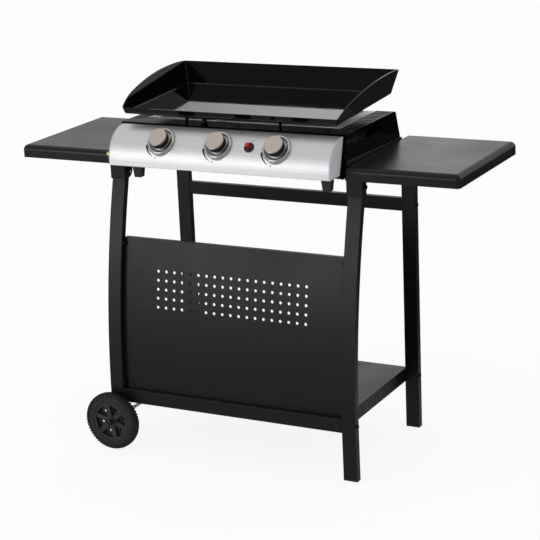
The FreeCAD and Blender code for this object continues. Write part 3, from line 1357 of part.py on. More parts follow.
def unit_foot(x, y):
    """A tapered rubber foot under the housing."""
    top, toe = "(body_low + 0.2)", "1.5"
    return prism("XZ_Plane", [
        ("%s - foot_narrow / 2 + %s" % (x, toe), "foot_low"), ("%s + foot_narrow / 2 - %s" % (x, toe), "foot_low"),
        ("%s + foot_narrow / 2" % x, "foot_low + %s" % toe), ("%s + foot_wide / 2" % x, top),
        ("%s - foot_wide / 2" % x, top), ("%s - foot_narrow / 2" % x, "foot_low + %s" % toe)],
        "foot_deep", "0 - (%s)" % y)


keep(together(*[unit_foot(x, y) for x in ("(0 - foot_side)", "foot_side")
                for y in ("foot_front", "foot_rear")]), "unit_feet")


def screw(x, y, z, way, reach):
    """A screw along X with its head outwards of x."""
    return fused(cylinder("screw_head", "2", x, y, z, VECTOR(way, 0, 0)),
                 cylinder("screw_radius", reach, x, y, z, VECTOR(-way, 0, 0)))


SCREWS = []
for way_sign, side_name in ((1, "1"), (-1, "-1")):
    inner_face = "%s * (body_half - sheet)" % side_name
    for y in UNIT_SCREWS:
        SCREWS.append(screw(inner_face, y, "tab_low + hang_up", -way_sign, "12"))
    for y in TABLE_SCREWS:
        SCREWS.append(screw(inner_face, y, "table_under + table_screw", -way_sign, "10"))
keep(together(*SCREWS), "unit_screws")

# Check every object and write every piece

DOC.recompute()
for thing in DOC.Objects:
    if "Invalid" in thing.State or "Error" in thing.State:
        raise RuntimeError("%s, used by %s, did not compute" % (thing.Name, [user.Label for user in thing.InList]))
for piece in PIECES:
    shape = piece.Shape
    if shape.isNull() or not shape.isValid() or not shape.Solids:
        raise RuntimeError("%s has no sound solid" % piece.Label)
    shape.exportStep("parts/%s.step" % piece.Label)
    print("%s %d solids %.0f mm3 %s" % (piece.Label, len(shape.Solids), shape.Volume, shape.BoundBox))
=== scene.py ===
# %% [markdown]
# # An outdoor gas griddle station
# A griddle unit with three burners on a wheeled stand, with two side tables.
# The construction is loaded ready made: every sheet, tube, knob and bolt at its real size.
# This script gives it its looks: the finishes, the tyres, the printed dial marks and the light.

# %% Load the construction
import json
import math

import bpy
from mathutils import Matrix, Vector


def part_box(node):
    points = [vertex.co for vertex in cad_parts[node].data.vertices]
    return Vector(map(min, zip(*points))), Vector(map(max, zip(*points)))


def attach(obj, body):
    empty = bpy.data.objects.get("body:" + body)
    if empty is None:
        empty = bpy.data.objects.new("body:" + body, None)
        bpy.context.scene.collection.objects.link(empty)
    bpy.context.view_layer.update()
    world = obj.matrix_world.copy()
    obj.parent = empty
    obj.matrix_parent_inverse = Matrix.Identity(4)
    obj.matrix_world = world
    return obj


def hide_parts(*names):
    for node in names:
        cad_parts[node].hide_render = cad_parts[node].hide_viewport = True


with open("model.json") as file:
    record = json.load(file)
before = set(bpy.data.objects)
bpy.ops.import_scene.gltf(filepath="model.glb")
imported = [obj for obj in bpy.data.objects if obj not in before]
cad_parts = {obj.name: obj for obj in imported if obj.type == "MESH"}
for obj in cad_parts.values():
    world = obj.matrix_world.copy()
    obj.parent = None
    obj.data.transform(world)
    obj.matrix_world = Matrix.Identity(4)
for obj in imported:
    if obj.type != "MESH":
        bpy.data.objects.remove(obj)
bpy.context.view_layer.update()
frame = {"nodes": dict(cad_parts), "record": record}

nodes = frame["nodes"]

# %% [markdown]
# ## The camera
# The photograph was taken with a long lens from in front of the griddle's right side, a little
# above it. A camera looks along its own -Z, so its turn is built from three directions:
# right, up and back. The roll is the small tilt of the picture.

# %% Camera
LENS = 118.3
FARTHEST_SEEN = 100
LOOK_LEFT = 0.497063
LOOK_DOWN = 0.287001
ROLL = -0.050654
CAMERA_PLACE = Vector((2.08654, -3.79537, 1.72641))


def camera_turn(azimuth, elevation, roll):
    """The turn of a camera that looks that far to the left and down."""
    forward = Vector((-math.sin(azimuth) * math.cos(elevation),
                      math.cos(azimuth) * math.cos(elevation), -math.sin(elevation)))
    level = Vector((math.cos(azimuth), math.sin(azimuth), 0))
    above = level.cross(forward)
    right = math.cos(roll) * level + math.sin(roll) * above
    up = -math.sin(roll) * level + math.cos(roll) * above
    return Matrix((right, up, -forward)).transposed()


camera_data = bpy.data.cameras.new("camera")
camera_data.lens = LENS
camera_data.clip_end = FARTHEST_SEEN
camera = bpy.data.objects.new("camera", camera_data)
bpy.context.scene.collection.objects.link(camera)
turn = camera_turn(LOOK_LEFT, LOOK_DOWN, ROLL).to_4x4()
camera.matrix_world = Matrix.Translation(CAMERA_PLACE) @ turn
bpy.context.scene.camera = camera
bpy.context.scene.view_settings.view_transform = "Standard"
print("camera at", tuple(round(value, 2) for value in camera.location))

# %% [markdown]
# ## Helpers for nodes
# The world, the floor and every finish are trees of nodes. The first helper adds a node and
# fills in or links its inputs in one line, so that the trees read like short formulas.
# The node Light Path tells which kind of ray is asking: one from the camera, which may have
# passed through glass, or one that left a shiny surface.

# %% Helpers for nodes


def add(tree, kind, operation=None, **inputs):
    """A new node, with values or links for its inputs by name, or by number as i0 or i1."""
    node = tree.nodes.new(kind)
    if operation:
        node.operation = operation
    for name, value in inputs.items():
        numbered = name[0] == "i" and name[1:].isdigit()
        key = int(name[1:]) if numbered else name.replace("_", " ")
        if isinstance(value, bpy.types.NodeSocket):
            tree.links.new(value, node.inputs[key])
        else:
            node.inputs[key].default_value = value
    return node


def math_node(tree, operation, first, second):
    """One sum of two numbers."""
    return add(tree, "ShaderNodeMath", operation, i0=first, i1=second).outputs[0]


def spread(tree, value, low, high, span=(0, 1)):
    """A number taken from a span to the range from low to high, and kept inside it."""
    node = add(tree, "ShaderNodeMapRange", i0=value, i1=span[0], i2=span[1], i3=low, i4=high)
    return node.outputs[0]


def asking_rays(tree):
    """Whether the camera asks, and whether a reflection asks, each as 0 or 1."""
    ray = tree.nodes.new("ShaderNodeLightPath").outputs
    seen = math_node(tree, "MAXIMUM", ray["Is Camera Ray"], ray["Is Transmission Ray"])
    return seen, ray["Is Glossy Ray"]


print("helpers for nodes are ready")

# %% [markdown]
# ## The studio
# The background of the photograph is pure white, and the world shows white to the camera.
# A reflection sees a studio: a bright sheet hangs behind the griddle, the ceiling is grey and
# the side where the camera stands is dark. That is why the black paint looks black from the
# front and silvery on its flat tops. One part of the sheet behind is brighter, as a window
# seen in it, and makes the shine on the plate. The direction of a ray says which part of the
# studio it meets, so each edge below is a span of that direction's Y or Z.

# %% White surroundings
WORLD_FILL = 0.85
BACKDROP = 0.66
BACKDROP_EDGE = (0.40, 0.75)
WINDOW = 0.75
WINDOW_AIM = (-0.40, 0.87, 0.28)
WINDOW_EDGE_DEGREES = (8, 2)
CEILING = 0.50
CAMERA_SIDE = 0.20
CAMERA_SIDE_EDGE = (0.45, 0.85)
BEHIND_EDGE = (-0.1, 0.35)

world = bpy.data.worlds.new("white_studio")
bpy.context.scene.world = world
world.use_nodes = True
tree = world.node_tree
background = tree.nodes["Background"]
background.inputs["Color"].default_value = (1, 1, 1, 1)
seen, mirrored = asking_rays(tree)
direction = tree.nodes.new("ShaderNodeTexCoord").outputs["Generated"]
parts = add(tree, "ShaderNodeSeparateXYZ", Vector=direction).outputs
aim = tuple(Vector(WINDOW_AIM).normalized())
towards = add(tree, "ShaderNodeVectorMath", "DOT_PRODUCT", i0=direction, i1=aim).outputs["Value"]
window_span = [math.cos(math.radians(angle)) for angle in WINDOW_EDGE_DEGREES]
window = spread(tree, towards, 0.0, WINDOW, window_span)
sheet = spread(tree, parts["Z"], BACKDROP, CEILING, BACKDROP_EDGE)
behind = math_node(tree, "ADD", sheet, window)
ahead = spread(tree, parts["Z"], CAMERA_SIDE, CEILING, CAMERA_SIDE_EDGE)
depth = spread(tree, parts["Y"], 0.0, 1.0, BEHIND_EDGE)
studio = spread(tree, depth, ahead, behind)
unseen = spread(tree, mirrored, WORLD_FILL, studio)
tree.links.new(spread(tree, seen, unseen, 1.0), background.inputs["Strength"])
print("world fill", WORLD_FILL)

# %% [markdown]
# ## The floor
# The floor is white as well, and only darkens where the griddle keeps light from it.
# A plain white surface under these lamps would come out a little grey, so the camera sees a
# mix: mostly white of its own, and the lit surface, which carries the shadow. A reflection
# sees the floor grey, and nearly black from a step behind the griddle on.

# %% Floor
FLOOR_WIDTH = 24.0
FLOOR_COLOUR = (0.96, 0.96, 0.96, 1)
OWN_WHITE = 0.88
FLOOR_AHEAD = 0.36
FLOOR_BEHIND = 0.05
FLOOR_FADE = (0.4, 1.2)


def deselect_all():
    """Leaves nothing selected, so that an operator acts on the new piece only."""
    if bpy.context.object and bpy.context.object.mode != "OBJECT":
        bpy.ops.object.mode_set(mode="OBJECT")
    bpy.ops.object.select_all(action="DESELECT")


def start(kind, name, **settings):
    """A new primitive of its own name, with nothing else selected."""
    deselect_all()
    getattr(bpy.ops.mesh, "primitive_" + kind + "_add")(**settings)
    piece = bpy.context.object
    piece.name = name
    return piece


floor = start("plane", "floor", size=FLOOR_WIDTH)
floor_finish = bpy.data.materials.new("floor_white")
floor_finish.use_nodes = True
tree = floor_finish.node_tree
tree.nodes.clear()
seen, mirrored = asking_rays(tree)
share = math_node(tree, "MAXIMUM", math_node(tree, "MULTIPLY", seen, OWN_WHITE), mirrored)
lit = add(tree, "ShaderNodeBsdfDiffuse", Color=FLOOR_COLOUR)
place = tree.nodes.new("ShaderNodeTexCoord").outputs["Object"]
back = add(tree, "ShaderNodeSeparateXYZ", Vector=place).outputs["Y"]
reflected = spread(tree, back, FLOOR_AHEAD, FLOOR_BEHIND, FLOOR_FADE)
own_light = spread(tree, mirrored, 1.0, reflected)
own = add(tree, "ShaderNodeEmission", Color=(1, 1, 1, 1), Strength=own_light)
both = add(tree, "ShaderNodeMixShader", i0=share, i1=lit.outputs[0], i2=own.outputs[0])
add(tree, "ShaderNodeOutputMaterial", Surface=both.outputs[0])
floor.data.materials.append(floor_finish)
print("floor", FLOOR_WIDTH, "m wide")

# %% [markdown]
# ## The lamps
# Two large soft lamps. The strong one stands low at the front left, and draws the bright band
# on the panel's curve and the sheen on legs and tables. The weak one hangs high at the left
# and adds a little light to the flat tops.

# %% Lamps


def soft_lamp(name, place, aim, size, power):
    """A large rectangular lamp at a place, turned towards a point."""
    data = bpy.data.lights.new(name, "AREA")
    data.shape = "RECTANGLE"
    data.size, data.size_y = size
    data.energy = power
    lamp = bpy.data.objects.new(name, data)
    bpy.context.scene.collection.objects.link(lamp)
    back = (Vector(place) - Vector(aim)).normalized()
    turn = back.to_track_quat("Z", "Y").to_matrix().to_4x4()
    lamp.matrix_world = Matrix.Translation(place) @ turn


soft_lamp("lamp_above", (-1.5, -0.9, 3.6), aim=(0, 0, 0.6), size=(4.0, 3.0), power=7)
soft_lamp("lamp_front", (-2.35, -4.3, 1.22), aim=(0, 0, 0.85), size=(2.6, 1.7), power=43)

# %% [markdown]
# ## How the finishes are made
# Every finish is one Principled shader with patterns on top, read from Object coordinates,
# which are metres in the griddle's own frame, so a pattern has its real scale on every piece.
# A noise can change the roughness, the colour or the bump, and each helper below adds one.

# %% Helpers for finishes
NOISE_SPAN = (0.3, 0.7)


def finish(name, colour, roughness, **more):
    """A new material with its shader set up. Returns the material, its tree and its shader."""
    material = bpy.data.materials.new(name)
    material.use_nodes = True
    material.diffuse_color = (*colour, 1)
    shader = material.node_tree.nodes["Principled BSDF"]
    shader.inputs["Base Color"].default_value = (*colour, 1)
    shader.inputs["Roughness"].default_value = roughness
    for key, value in more.items():
        shader.inputs[key.replace("_", " ")].default_value = value
    return material, material.node_tree, shader


def noise(tree, scale, detail=3.0, rough=0.55, stretch=(1, 1, 1), where=None):
    """A cloudy pattern, mostly from 0.3 to 0.7, on Object coordinates unless told where."""
    if where is None:
        place = tree.nodes.new("ShaderNodeTexCoord").outputs["Object"]
        where = add(tree, "ShaderNodeMapping", Vector=place, Scale=stretch).outputs[0]
    node = add(tree, "ShaderNodeTexNoise", Vector=where, Scale=scale, Detail=detail,
               Roughness=rough)
    return node.outputs["Fac"]


def vary_roughness(tree, shader, pattern, low, high):
    """Lets a pattern move the roughness between two levels."""
    tree.links.new(spread(tree, pattern, low, high, NOISE_SPAN), shader.inputs["Roughness"])


def vary_colour(tree, shader, pattern, low, high, span=NOISE_SPAN):
    """Lets a pattern move the colour between two others."""
    ramp = tree.nodes.new("ShaderNodeValToRGB")
    for number, colour in enumerate((low, high)):
        ramp.color_ramp.elements[number].position = span[number]
        ramp.color_ramp.elements[number].color = (*colour, 1)
    tree.links.new(pattern, ramp.inputs[0])
    tree.links.new(ramp.outputs[0], shader.inputs["Base Color"])


def scaled(colour, share):
    """A colour made darker or lighter."""
    return tuple(value * share for value in colour)


def bump(tree, shader, height, strength, distance, under=None):
    """Fine relief on a shader, on top of another relief if one is given."""
    node = add(tree, "ShaderNodeBump", Height=height, Strength=strength, Distance=distance)
    if under is not None:
        tree.links.new(under, node.inputs["Normal"])
    tree.links.new(node.outputs[0], shader.inputs["Normal"])
    return node.outputs[0]


print("helpers for finishes are ready")

# %% [markdown]
# ## Black powder paint
# Legs, housing, tables, screen and shelf are powder painted. The powder melts into a satin
# skin with a fine orange peel, about a millimetre across. A slow noise varies the gloss a
# little, as on any large sheet, and a faint dust speckle lies on it. Sharp edges of a model
# catch no light, so the Bevel node bends the normals there as round edges would. The housing
# gets a copy of the paint that is darker and shines less: that is painted shade, as the
# housing sits under the plate and between the tables.

# %% Black paint
PAINT_EDGE = 0.0010


def soft_edges(tree, radius):
    """Normals that run round an edge as if it had this radius."""
    return add(tree, "ShaderNodeBevel", Radius=radius).outputs[0]


def powder_paint(name, level, roughness, shine, peel_depth=0.0003, **more):
    """Satin black paint with orange peel and a faint speckle of dust."""
    black = (level, level, level * 1.04)
    dust = (level * 1.5, level * 1.5, level * 1.6)
    material, tree, shader = finish(name, black, roughness, Specular_IOR_Level=shine, **more)
    peel = noise(tree, scale=900, detail=2.0)
    relief = bump(tree, shader, peel, 0.22, peel_depth, soft_edges(tree, PAINT_EDGE))
    bump(tree, shader, noise(tree, scale=2600, detail=1.0), 0.10, 0.0001, relief)
    broad = noise(tree, scale=6, detail=4.0)
    vary_roughness(tree, shader, broad, roughness - 0.04, roughness + 0.05)
    speckle = noise(tree, scale=480, detail=4.0, rough=0.7)
    vary_colour(tree, shader, speckle, black, dust, span=(0.45, 0.85))
    return material


PAINT = powder_paint("black_powder_paint", 0.0036, 0.36, shine=0.33)
TABLE_PAINT = powder_paint("table_powder_paint", 0.0040, 0.30, shine=0.34)
# The housing's copy is darker and shines less than the paint on the legs: painted shade.
SHADED_HOUSING_PAINT = powder_paint("housing_paint_painted_shade", 0.0008, 0.14, shine=0.12,
                             peel_depth=0.00005, IOR=1.2)
print("made", PAINT.name, TABLE_PAINT.name, "and", SHADED_HOUSING_PAINT.name)

# %% [markdown]
# ## Black enamel of the griddle plate
# The plate is thick steel under black glass enamel. It shines like dark glass, with a soft
# ripple, so its floor mirrors the white room at the shallow angle of the photograph.

# %% Enamel
ENAMEL_EDGE = 0.0006
ENAMEL, tree, shader = finish("black_enamel", (0.0010, 0.0010, 0.0011), 0.06,
                              Specular_IOR_Level=0.38)
ripple = noise(tree, scale=45, detail=2.0)
relief = bump(tree, shader, ripple, 0.03, 0.0005, soft_edges(tree, ENAMEL_EDGE))
bump(tree, shader, noise(tree, scale=700), 0.02, 0.0001, relief)
vary_roughness(tree, shader, noise(tree, scale=14, detail=5.0), 0.03, 0.07)
print("made", ENAMEL.name)

# %% [markdown]
# ## Brushed steel
# The control panel is stainless steel brushed along its length. Brushing leaves fine
# scratches that run in X, so the noise is stretched some eighty times along X. It drives the
# roughness, the colour and the relief. The knob caps are brushed in circles instead.

# %% Brushed sheet
PANEL_STRETCH = (0.012, 1, 1)
PANEL_EDGE = 0.0022


def brushed(name, colour, roughness, stretch, edge=0.0005, metal=1.0, **more):
    """Metal with fine scratches and edges bent to a small radius."""
    material, tree, shader = finish(name, colour, roughness, Metallic=metal, **more)
    fine = noise(tree, scale=2400, rough=0.65, stretch=stretch)
    wide = noise(tree, scale=500, rough=0.6, stretch=stretch)
    relief = bump(tree, shader, wide, 0.10, 0.0002, soft_edges(tree, edge))
    bump(tree, shader, fine, 0.12, 0.00006, relief)
    vary_roughness(tree, shader, fine, roughness - 0.06, roughness + 0.08)
    vary_colour(tree, shader, wide, scaled(colour, 0.9), colour)
    return material


PANEL_STEEL = brushed("panel_steel_brushed", (0.88, 0.88, 0.89), 0.43, PANEL_STRETCH,
                      PANEL_EDGE, Anisotropic=0.60)
tree = PANEL_STEEL.node_tree
along = tree.nodes.new("ShaderNodeTangent")
along.direction_type, along.axis = "RADIAL", "X"
tree.links.new(along.outputs[0], tree.nodes["Principled BSDF"].inputs["Tangent"])
print("made", PANEL_STEEL.name)

# %% [markdown]
# ## Other metals
# The two ends of the panel are painted pale grey. The burners and the tub that holds them are
# bright sheet with a rolled finish. The screws, the gas tube and the axle are zinc plated and
# slightly cloudy, the gas fittings are turned brass, and the nuts of the wheels are blackened.

# %% Other metals
ROLLED_STRETCH = (0.05, 1, 1)
TURNED_STRETCH = (1, 0.05, 0.05)

PALE, tree, shader = finish("pale_grey_paint", (0.48, 0.49, 0.53), 0.38)
bump(tree, shader, noise(tree, scale=1100, detail=2.0), 0.10, 0.0002)
vary_colour(tree, shader, noise(tree, scale=60), (0.46, 0.47, 0.51), (0.50, 0.51, 0.55))

ROLLED = brushed("rolled_sheet", (0.86, 0.87, 0.88), 0.45, ROLLED_STRETCH, metal=0.8)

DARK_NUT, tree, shader = finish("black_oxide", (0.05, 0.05, 0.052), 0.22, Metallic=1.0)
vary_roughness(tree, shader, noise(tree, scale=300), 0.16, 0.34)

ZINC, tree, shader = finish("zinc_plate", (0.66, 0.67, 0.68), 0.33, Metallic=1.0)
cloud = noise(tree, scale=260, detail=4.0)
vary_roughness(tree, shader, cloud, 0.26, 0.44)
vary_colour(tree, shader, cloud, (0.56, 0.57, 0.60), (0.74, 0.74, 0.74))

BRASS, tree, shader = finish("turned_brass", (0.78, 0.57, 0.28), 0.28, Metallic=1.0)
ridges = noise(tree, scale=2200, detail=2.0, stretch=TURNED_STRETCH)
bump(tree, shader, ridges, 0.15, 0.00008)
vary_colour(tree, shader, noise(tree, scale=90), (0.66, 0.46, 0.22), (0.82, 0.61, 0.32))
print("made", PALE.name, ROLLED.name, DARK_NUT.name, ZINC.name, BRASS.name)

# %% [markdown]
# ## Plastic, rubber and the rest
# The knobs are moulded in dull black plastic, the hubs in a slightly paler one. Rubber is the
# roughest black. The igniter's button is glossy red and the spark's insulator white ceramic.

# %% Plastics and rubber


def moulded(name, colour, roughness, grain_size, relief):
    """Moulded plastic or rubber with an even grain."""
    material, tree, shader = finish(name, colour, roughness)
    grain = noise(tree, scale=1 / grain_size, rough=0.6)
    bump(tree, shader, grain, relief, 0.0002)
    vary_roughness(tree, shader, grain, roughness - 0.05, roughness + 0.06)
    vary_colour(tree, shader, noise(tree, scale=70), scaled(colour, 0.85), scaled(colour, 1.15))
    return material


KNOB_PLASTIC = moulded("knob_plastic", (0.010, 0.010, 0.012), 0.36, 0.0005, 0.08)
HUB_PLASTIC = moulded("hub_plastic", (0.022, 0.022, 0.023), 0.40, 0.0006, 0.12)
TYRE_RUBBER = moulded("tyre_rubber", (0.010, 0.010, 0.011), 0.58, 0.0009, 0.25)
FOOT_RUBBER = moulded("foot_rubber", (0.014, 0.014, 0.014), 0.62, 0.0008, 0.25)
RED_PLASTIC = moulded("red_button_plastic", (0.50, 0.012, 0.010), 0.22, 0.0010, 0.03)
CERAMIC = moulded("white_ceramic", (0.80, 0.79, 0.76), 0.18, 0.0020, 0.03)
print("made six moulded finishes")

# %% [markdown]
# ## Knob caps
# The face of a knob cap is turned, so its scratches run in circles about the knob's axis and
# a fan of light crosses it. A noise that is read along the distance from that axis is the same
# all the way round. The distance is the length of a cross product: the way from the cap's
# middle to the spot, crossed with the axis. So each of the three caps has a finish of its own.

# %% Circles on the caps
ARC_Y, ARC_Z, ARC = -0.121, 0.763, 0.075
KNOB_ANGLE = math.radians(41)
KNOB_PITCH = 0.159
SIDES = {"left": -1, "centre": 0, "right": 1}
CAP_COLOUR = (0.70, 0.62, 0.57)
EVEN_STRETCH = (1, 1, 1)


def on_panel(x, angle, out=0.0):
    """The point of the panel's face at an angle above level, or that far out of it."""
    radius = ARC + out
    return Vector((x, ARC_Y - radius * math.cos(angle), ARC_Z + radius * math.sin(angle)))


def knob_seat(side):
    """The point of the panel's face at the middle of a knob."""
    return on_panel(SIDES[side] * KNOB_PITCH, KNOB_ANGLE)


KNOB_AXIS = on_panel(0, KNOB_ANGLE, 1) - on_panel(0, KNOB_ANGLE)


def vector_node(tree, operation, first, second=(0, 0, 0)):
    """One sum of two vectors. Returns all its outputs."""
    return add(tree, "ShaderNodeVectorMath", operation, i0=first, i1=second).outputs


def turned_steel(name, centre, colour, roughness):
    """Steel with circular scratches about the knob's axis through a point."""
    material, tree, shader = finish(name, colour, roughness, Metallic=1.0)
    place = tree.nodes.new("ShaderNodeTexCoord").outputs["Object"]
    moved = vector_node(tree, "SUBTRACT", place, tuple(centre))[0]
    across = vector_node(tree, "CROSS_PRODUCT", moved, tuple(KNOB_AXIS))[0]
    radius = vector_node(tree, "LENGTH", across)["Value"]
    circle = add(tree, "ShaderNodeCombineXYZ", X=radius).outputs[0]
    rings = noise(tree, scale=2600, rough=0.7, where=circle)
    bump(tree, shader, rings, 0.25, 0.00005)
    vary_roughness(tree, shader, rings, roughness - 0.07, roughness + 0.08)
    broad = noise(tree, scale=700, detail=2.0, where=circle)
    vary_colour(tree, shader, broad, scaled(colour, 0.9), colour)
    return material


CAP_STEEL = {side: turned_steel("cap_steel_" + side, knob_seat(side), CAP_COLOUR, 0.30)
             for side in SIDES}
BEZEL_STEEL = brushed("bezel_steel", (0.74, 0.72, 0.71), 0.20, EVEN_STRETCH)
print("made", len(CAP_STEEL), "cap finishes and", BEZEL_STEEL.name)

# %% [markdown]
# ## Painting the construction
# Each piece of the construction has one material slot. The record says which finish family a
# piece belongs to, and this table gives the finish made above. A few pieces are set by name.

# %% Paint by family
FAMILIES = {
    "black_paint": PAINT, "black_enamel": ENAMEL, "panel_steel": PANEL_STEEL,
    "pale_ends": PALE, "bright_sheet": ROLLED, "knob_steel": BEZEL_STEEL, "zinc": ZINC,
    "brass": BRASS, "black_plastic": KNOB_PLASTIC, "hub_plastic": HUB_PLASTIC,
    "tyre_rubber": TYRE_RUBBER, "foot_rubber": FOOT_RUBBER, "red_plastic": RED_PLASTIC,
    "ceramic": CERAMIC,
}
TABLES = ("side_table_left", "side_table_right")
HOUSING = ("side_panel_left", "side_panel_right", "rear_panel", "front_rail", "plate_pins",
           "grease_pipe")


def paint(name, material):
    """Puts one material on a piece of the construction."""
    piece = nodes[name]
    if not piece.material_slots:
        piece.data.materials.append(None)
    for slot in piece.material_slots:
        slot.material = material


for subpart in frame["record"]["subparts"]:
    paint(subpart["node"], FAMILIES[subpart["material_slot"]])
for side in SIDES:
    paint("knob_cap_" + side, CAP_STEEL[side])
for name in TABLES:
    paint(name, TABLE_PAINT)
# The housing's pieces take the copy of the paint that carries painted shade.
for name in HOUSING:
    paint(name, SHADED_HOUSING_PAINT)
paint("wheel_nuts", DARK_NUT)

# %% [markdown]
# ## Helpers for shapes
# The new pieces are made as a person makes them by hand: a primitive is added, its corners
# are put in place, and operators of edit mode do the rest. An outline that is spun about an
# axis is the shortest way to a tyre, a ring or a button, because all of them are round.

# %% Helpers for shapes


def select_only(piece):
    """Makes one piece the active and the only selected one."""
    deselect_all()
    piece.select_set(True)
    bpy.context.view_layer.objects.active = piece


def edit(piece, how):
    """Runs a few operators in edit mode on the whole of a piece."""
    select_only(piece)
    bpy.ops.object.mode_set(mode="EDIT")
    bpy.ops.mesh.select_all(action="SELECT")
    how()
    bpy.ops.object.mode_set(mode="OBJECT")


def heal():
    """Merges doubles and turns all faces outwards."""
    bpy.ops.mesh.remove_doubles(threshold=0.00001)
    bpy.ops.mesh.normals_make_consistent(inside=False)


def modify(piece, kind, **settings):
    """Adds a modifier and applies it at once."""
    modifier = piece.modifiers.new(kind.lower(), kind)
    for key, value in settings.items():
        setattr(modifier, key, value)
    bpy.context.view_layer.objects.active = piece
    bpy.ops.object.modifier_apply(modifier=modifier.name)


def spun(name, outline, steps, axis):
    """A piece spun from a closed outline of points, a full turn about an axis."""
    piece = start("circle", name, vertices=len(outline))
    for vertex, point in zip(piece.data.vertices, outline):
        vertex.co = point
    edit(piece, lambda: bpy.ops.mesh.spin(steps=steps, angle=2 * math.pi,
                                          center=(0, 0, 0), axis=axis))
    edit(piece, heal)
    return piece


def smooth(piece, degrees):
    """Shades a piece smooth, apart from edges sharper than an angle."""
    select_only(piece)
    bpy.ops.object.shade_smooth_by_angle(angle=math.radians(degrees))


print("helpers for shapes are ready")

# %% [markdown]
# ## The tyres
# The tyres are solid rubber with two rows of small lugs, set half a pitch apart, that run down
# over the shoulder. The outline of the tyre is spun round the axle in 336 steps. Every lug is
# four steps of one half of the tread, raised, with a gap of two steps to the next. The tyre is
# modelled once about the origin, and each wheel gets a copy.

# %% Lugged tyres
LUGS = 56
PITCH_STEPS = 6
LUG_STEPS = 4
STEPS = PITCH_STEPS * LUGS
LUG_HEIGHT = 0.0026
TREAD_FROM = 0.0655
MIDDLE_GROOVE = 0.0007
ROUNDING = 0.01
TYRE_SIDE = [(0.0488, 0.0110), (0.0494, 0.0124), (0.0508, 0.0130), (0.0528, 0.0130),
             (0.0538, 0.0125), (0.0550, 0.0128), (0.0640, 0.0128), (0.0655, 0.0120),
             (0.0690, 0.0107), (0.0712, 0.0093), (0.0726, 0.0066), (0.0732, 0.0034),
             (0.0734, 0.0005)]


def is_lug(face):
    """Whether a face of the tread lies in a lug and not in a groove."""
    x, y, z = face.center
    step = int((math.atan2(z, x) / (2 * math.pi) + 1) * STEPS + ROUNDING)
    shift = PITCH_STEPS // 2 if y > 0 else 0
    on_tread = math.hypot(x, z) > TREAD_FROM and abs(y) > MIDDLE_GROOVE
    return on_tread and (step + shift) % PITCH_STEPS < LUG_STEPS


def raise_lugs():
    """Selects the faces of the lugs in place of the whole tyre and pushes them out."""
    bpy.ops.mesh.select_mode(type="FACE")
    bpy.ops.object.mode_set(mode="OBJECT")
    for part in (tyre.data.vertices, tyre.data.edges, tyre.data.polygons):
        part.foreach_set("select", [False] * len(part))
    for face in tyre.data.polygons:
        face.select = is_lug(face)
    bpy.ops.object.mode_set(mode="EDIT")
    bpy.ops.mesh.extrude_region()
    bpy.ops.transform.shrink_fatten(value=LUG_HEIGHT)


def copy_to(piece, name, place):
    """A copy with its own mesh, moved to a place, with the move kept in the mesh."""
    copy = piece.copy()
    copy.data = piece.data.copy()
    copy.name = name
    bpy.context.scene.collection.objects.link(copy)
    copy.data.transform(Matrix.Translation(place))
    return copy


outline = TYRE_SIDE + [(radius, -side) for radius, side in reversed(TYRE_SIDE)]
tyre = spun("tyre", [(radius, side, 0) for radius, side in outline], STEPS, (0, 1, 0))
edit(tyre, raise_lugs)
modify(tyre, "BEVEL", width=0.00035, segments=1, limit_method="ANGLE",
       angle_limit=math.radians(40))
smooth(tyre, 35)
tyre.data.materials.append(TYRE_RUBBER)
for end in ("front", "rear"):
    low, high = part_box("tyre_" + end)
    copy = copy_to(tyre, "lugged_tyre_" + end, (low + high) / 2)
    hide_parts("tyre_" + end)
    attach(copy, "wheel_" + end)
bpy.data.objects.remove(tyre)
print("tyres of", len(copy.data.polygons), "faces")

# %% [markdown]
# ## Marks printed on the panel
# Beside each knob a crescent shows which way the flame grows, with a dot at each end of the
# knob's turn. Over the igniter stand two strokes and a dot. A print is a skin a few
# hundredths of a millimetre thick, so each mark starts as a flat grid or disc whose corners
# are laid on the curve of the panel. Distances on it are in millimetres from a knob's middle.

# %% Printed marks
PRINT_INK, tree, shader = finish("black_print", (0.012, 0.012, 0.013), 0.45)
vary_roughness(tree, shader, noise(tree, scale=1500, detail=2.0), 0.38, 0.52)
INK_THICKNESS = 0.00004
INK_OUT = 0.00005
DOT_CORNERS = 20
CRESCENT = [(-38.4, -10.6, 2.5), (-37.9, -14.6, 2.6), (-36.4, -19.4, 2.4), (-33.8, -24.4, 2.1),
            (-30.4, -29.4, 1.7), (-26.4, -33.6, 1.3), (-22.0, -37.2, 0.9), (-17.8, -39.8, 0.4)]
SPARK_LONG = [(2.2, 12.4, 1.2), (3.8, 16.2, 0.9), (5.4, 19.9, 0.5)]
SPARK_FLAT = [(4.3, 22.7, 0.5), (8.5, 23.2, 0.6), (12.6, 22.8, 0.4)]


def lay(x, rise, seat_x):
    """A spot of ink, in millimetres right of and above a knob's middle, on the curve."""
    return on_panel(seat_x + x / 1000, KNOB_ANGLE + rise / 1000 / ARC, INK_OUT)


def stroke(name, line, seat_x):
    """A printed line through points with half widths."""
    mark = start("grid", name, x_subdivisions=len(line) - 1, y_subdivisions=1)
    for number, (x, rise, half) in enumerate(line):
        before, after = line[max(number - 1, 0)], line[min(number + 1, len(line) - 1)]
        way = Vector((after[0] - before[0], after[1] - before[1])).normalized()
        for row, sign in ((0, 1), (1, -1)):
            vertex = mark.data.vertices[row * len(line) + number]
            vertex.co = lay(x - sign * way.y * half, rise + sign * way.x * half, seat_x)
    return mark


def dot(name, x, rise, radius, seat_x):
    """A printed dot."""
    mark = start("circle", name, vertices=DOT_CORNERS, fill_type="NGON")
    for vertex in mark.data.vertices:
        vertex.co = lay(x + vertex.co.x * radius, rise + vertex.co.y * radius, seat_x)
    return mark


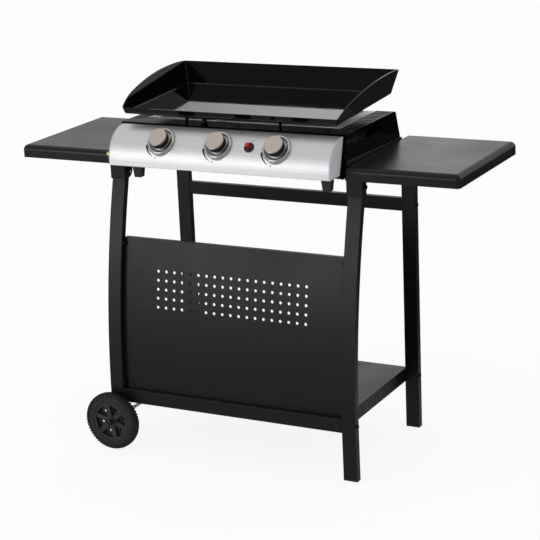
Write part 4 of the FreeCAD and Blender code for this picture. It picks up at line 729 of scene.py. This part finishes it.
marks = []
for side, step in SIDES.items():
    seat_x = step * KNOB_PITCH
    marks += [stroke("crescent_" + side, CRESCENT, seat_x),
              dot("dot_shut_" + side, -38.2, -3.2, 2.0, seat_x),
              dot("dot_open_" + side, -11.3, -41.6, 1.9, seat_x)]
igniter_low, igniter_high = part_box("igniter_body")
igniter_x = (igniter_low.x + igniter_high.x) / 2
marks += [stroke("spark_long", SPARK_LONG, igniter_x), stroke("spark_flat", SPARK_FLAT, igniter_x),
          dot("spark_dot", -1.9, 22.1, 1.2, igniter_x)]
deselect_all()
for mark in marks:
    mark.select_set(True)
prints = marks[0]
bpy.context.view_layer.objects.active = prints
bpy.ops.object.join()
prints.name = "panel_prints"
modify(prints, "SOLIDIFY", thickness=INK_THICKNESS, offset=0)
edit(prints, heal)
prints.data.materials.append(PRINT_INK)
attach(prints, "station")
print("printed", len(marks), "marks")

# %% [markdown]
# ## The igniter and the foot of each knob
# These are turned parts: an outline is drawn beside the Z axis, spun a full turn and tipped so
# that Z becomes the axis of a knob. The igniter has a domed black ring, a bright seat deep in
# it and a slim red button with a waist. Each knob has a thin bright ring low on its body, a
# little off the panel, so that the knob has room to be pushed in.

# %% Turned pieces
TURN_STEPS = 72
IGNITER_RING = [(6.2, -28), (9.4, -28), (9.4, -1.5), (12.9, -1.5), (12.9, 1.6), (12.5, 2.4),
                (11.6, 3.0), (9.5, 3.3), (7.6, 3.0), (6.6, 2.2), (6.2, 1.0)]
IGNITER_SEAT = [(4.4, -4), (6.1, -4), (6.1, -2.6), (5.6, -2.2), (4.4, -2.2)]
RED_BUTTON = [(0, -24), (3.6, -24), (3.6, 8.2), (3.9, 9.0), (4.7, 9.8), (5.0, 10.8),
              (5.0, 15.0), (4.8, 15.9), (4.1, 16.5), (2.0, 16.6), (0, 16.4)]
KNOB_FOOT = [(22.9, 3.7), (23.9, 3.7), (24.1, 4.2), (24.0, 4.8), (23.5, 5.2), (22.9, 5.3)]


def turned(name, outline, seat, material):
    """A ring or pin spun from (radius, height) points in millimetres, on the panel."""
    points = [(radius / 1000, 0, height / 1000) for radius, height in outline]
    piece = spun(name, points, TURN_STEPS, (0, 0, 1))
    tip = KNOB_AXIS.to_track_quat("Z", "Y").to_matrix().to_4x4()
    piece.data.transform(Matrix.Translation(seat) @ tip)
    smooth(piece, 40)
    piece.data.materials.append(material)
    return piece


igniter_seat = on_panel(igniter_x, KNOB_ANGLE)
ring = turned("igniter_ring", IGNITER_RING, igniter_seat, KNOB_PLASTIC)
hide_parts("igniter_body")
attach(ring, "station")
seat_ring = turned("igniter_seat_ring", IGNITER_SEAT, igniter_seat, ZINC)
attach(seat_ring, "station")
button = turned("red_button", RED_BUTTON, igniter_seat, RED_PLASTIC)
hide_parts("igniter_button")
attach(button, "igniter")
for side in SIDES:
    foot = turned("knob_foot_" + side, KNOB_FOOT, knob_seat(side), BEZEL_STEEL)
    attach(foot, "knob_" + side)
print("turned", ring.name, button.name, "and three knob rings")
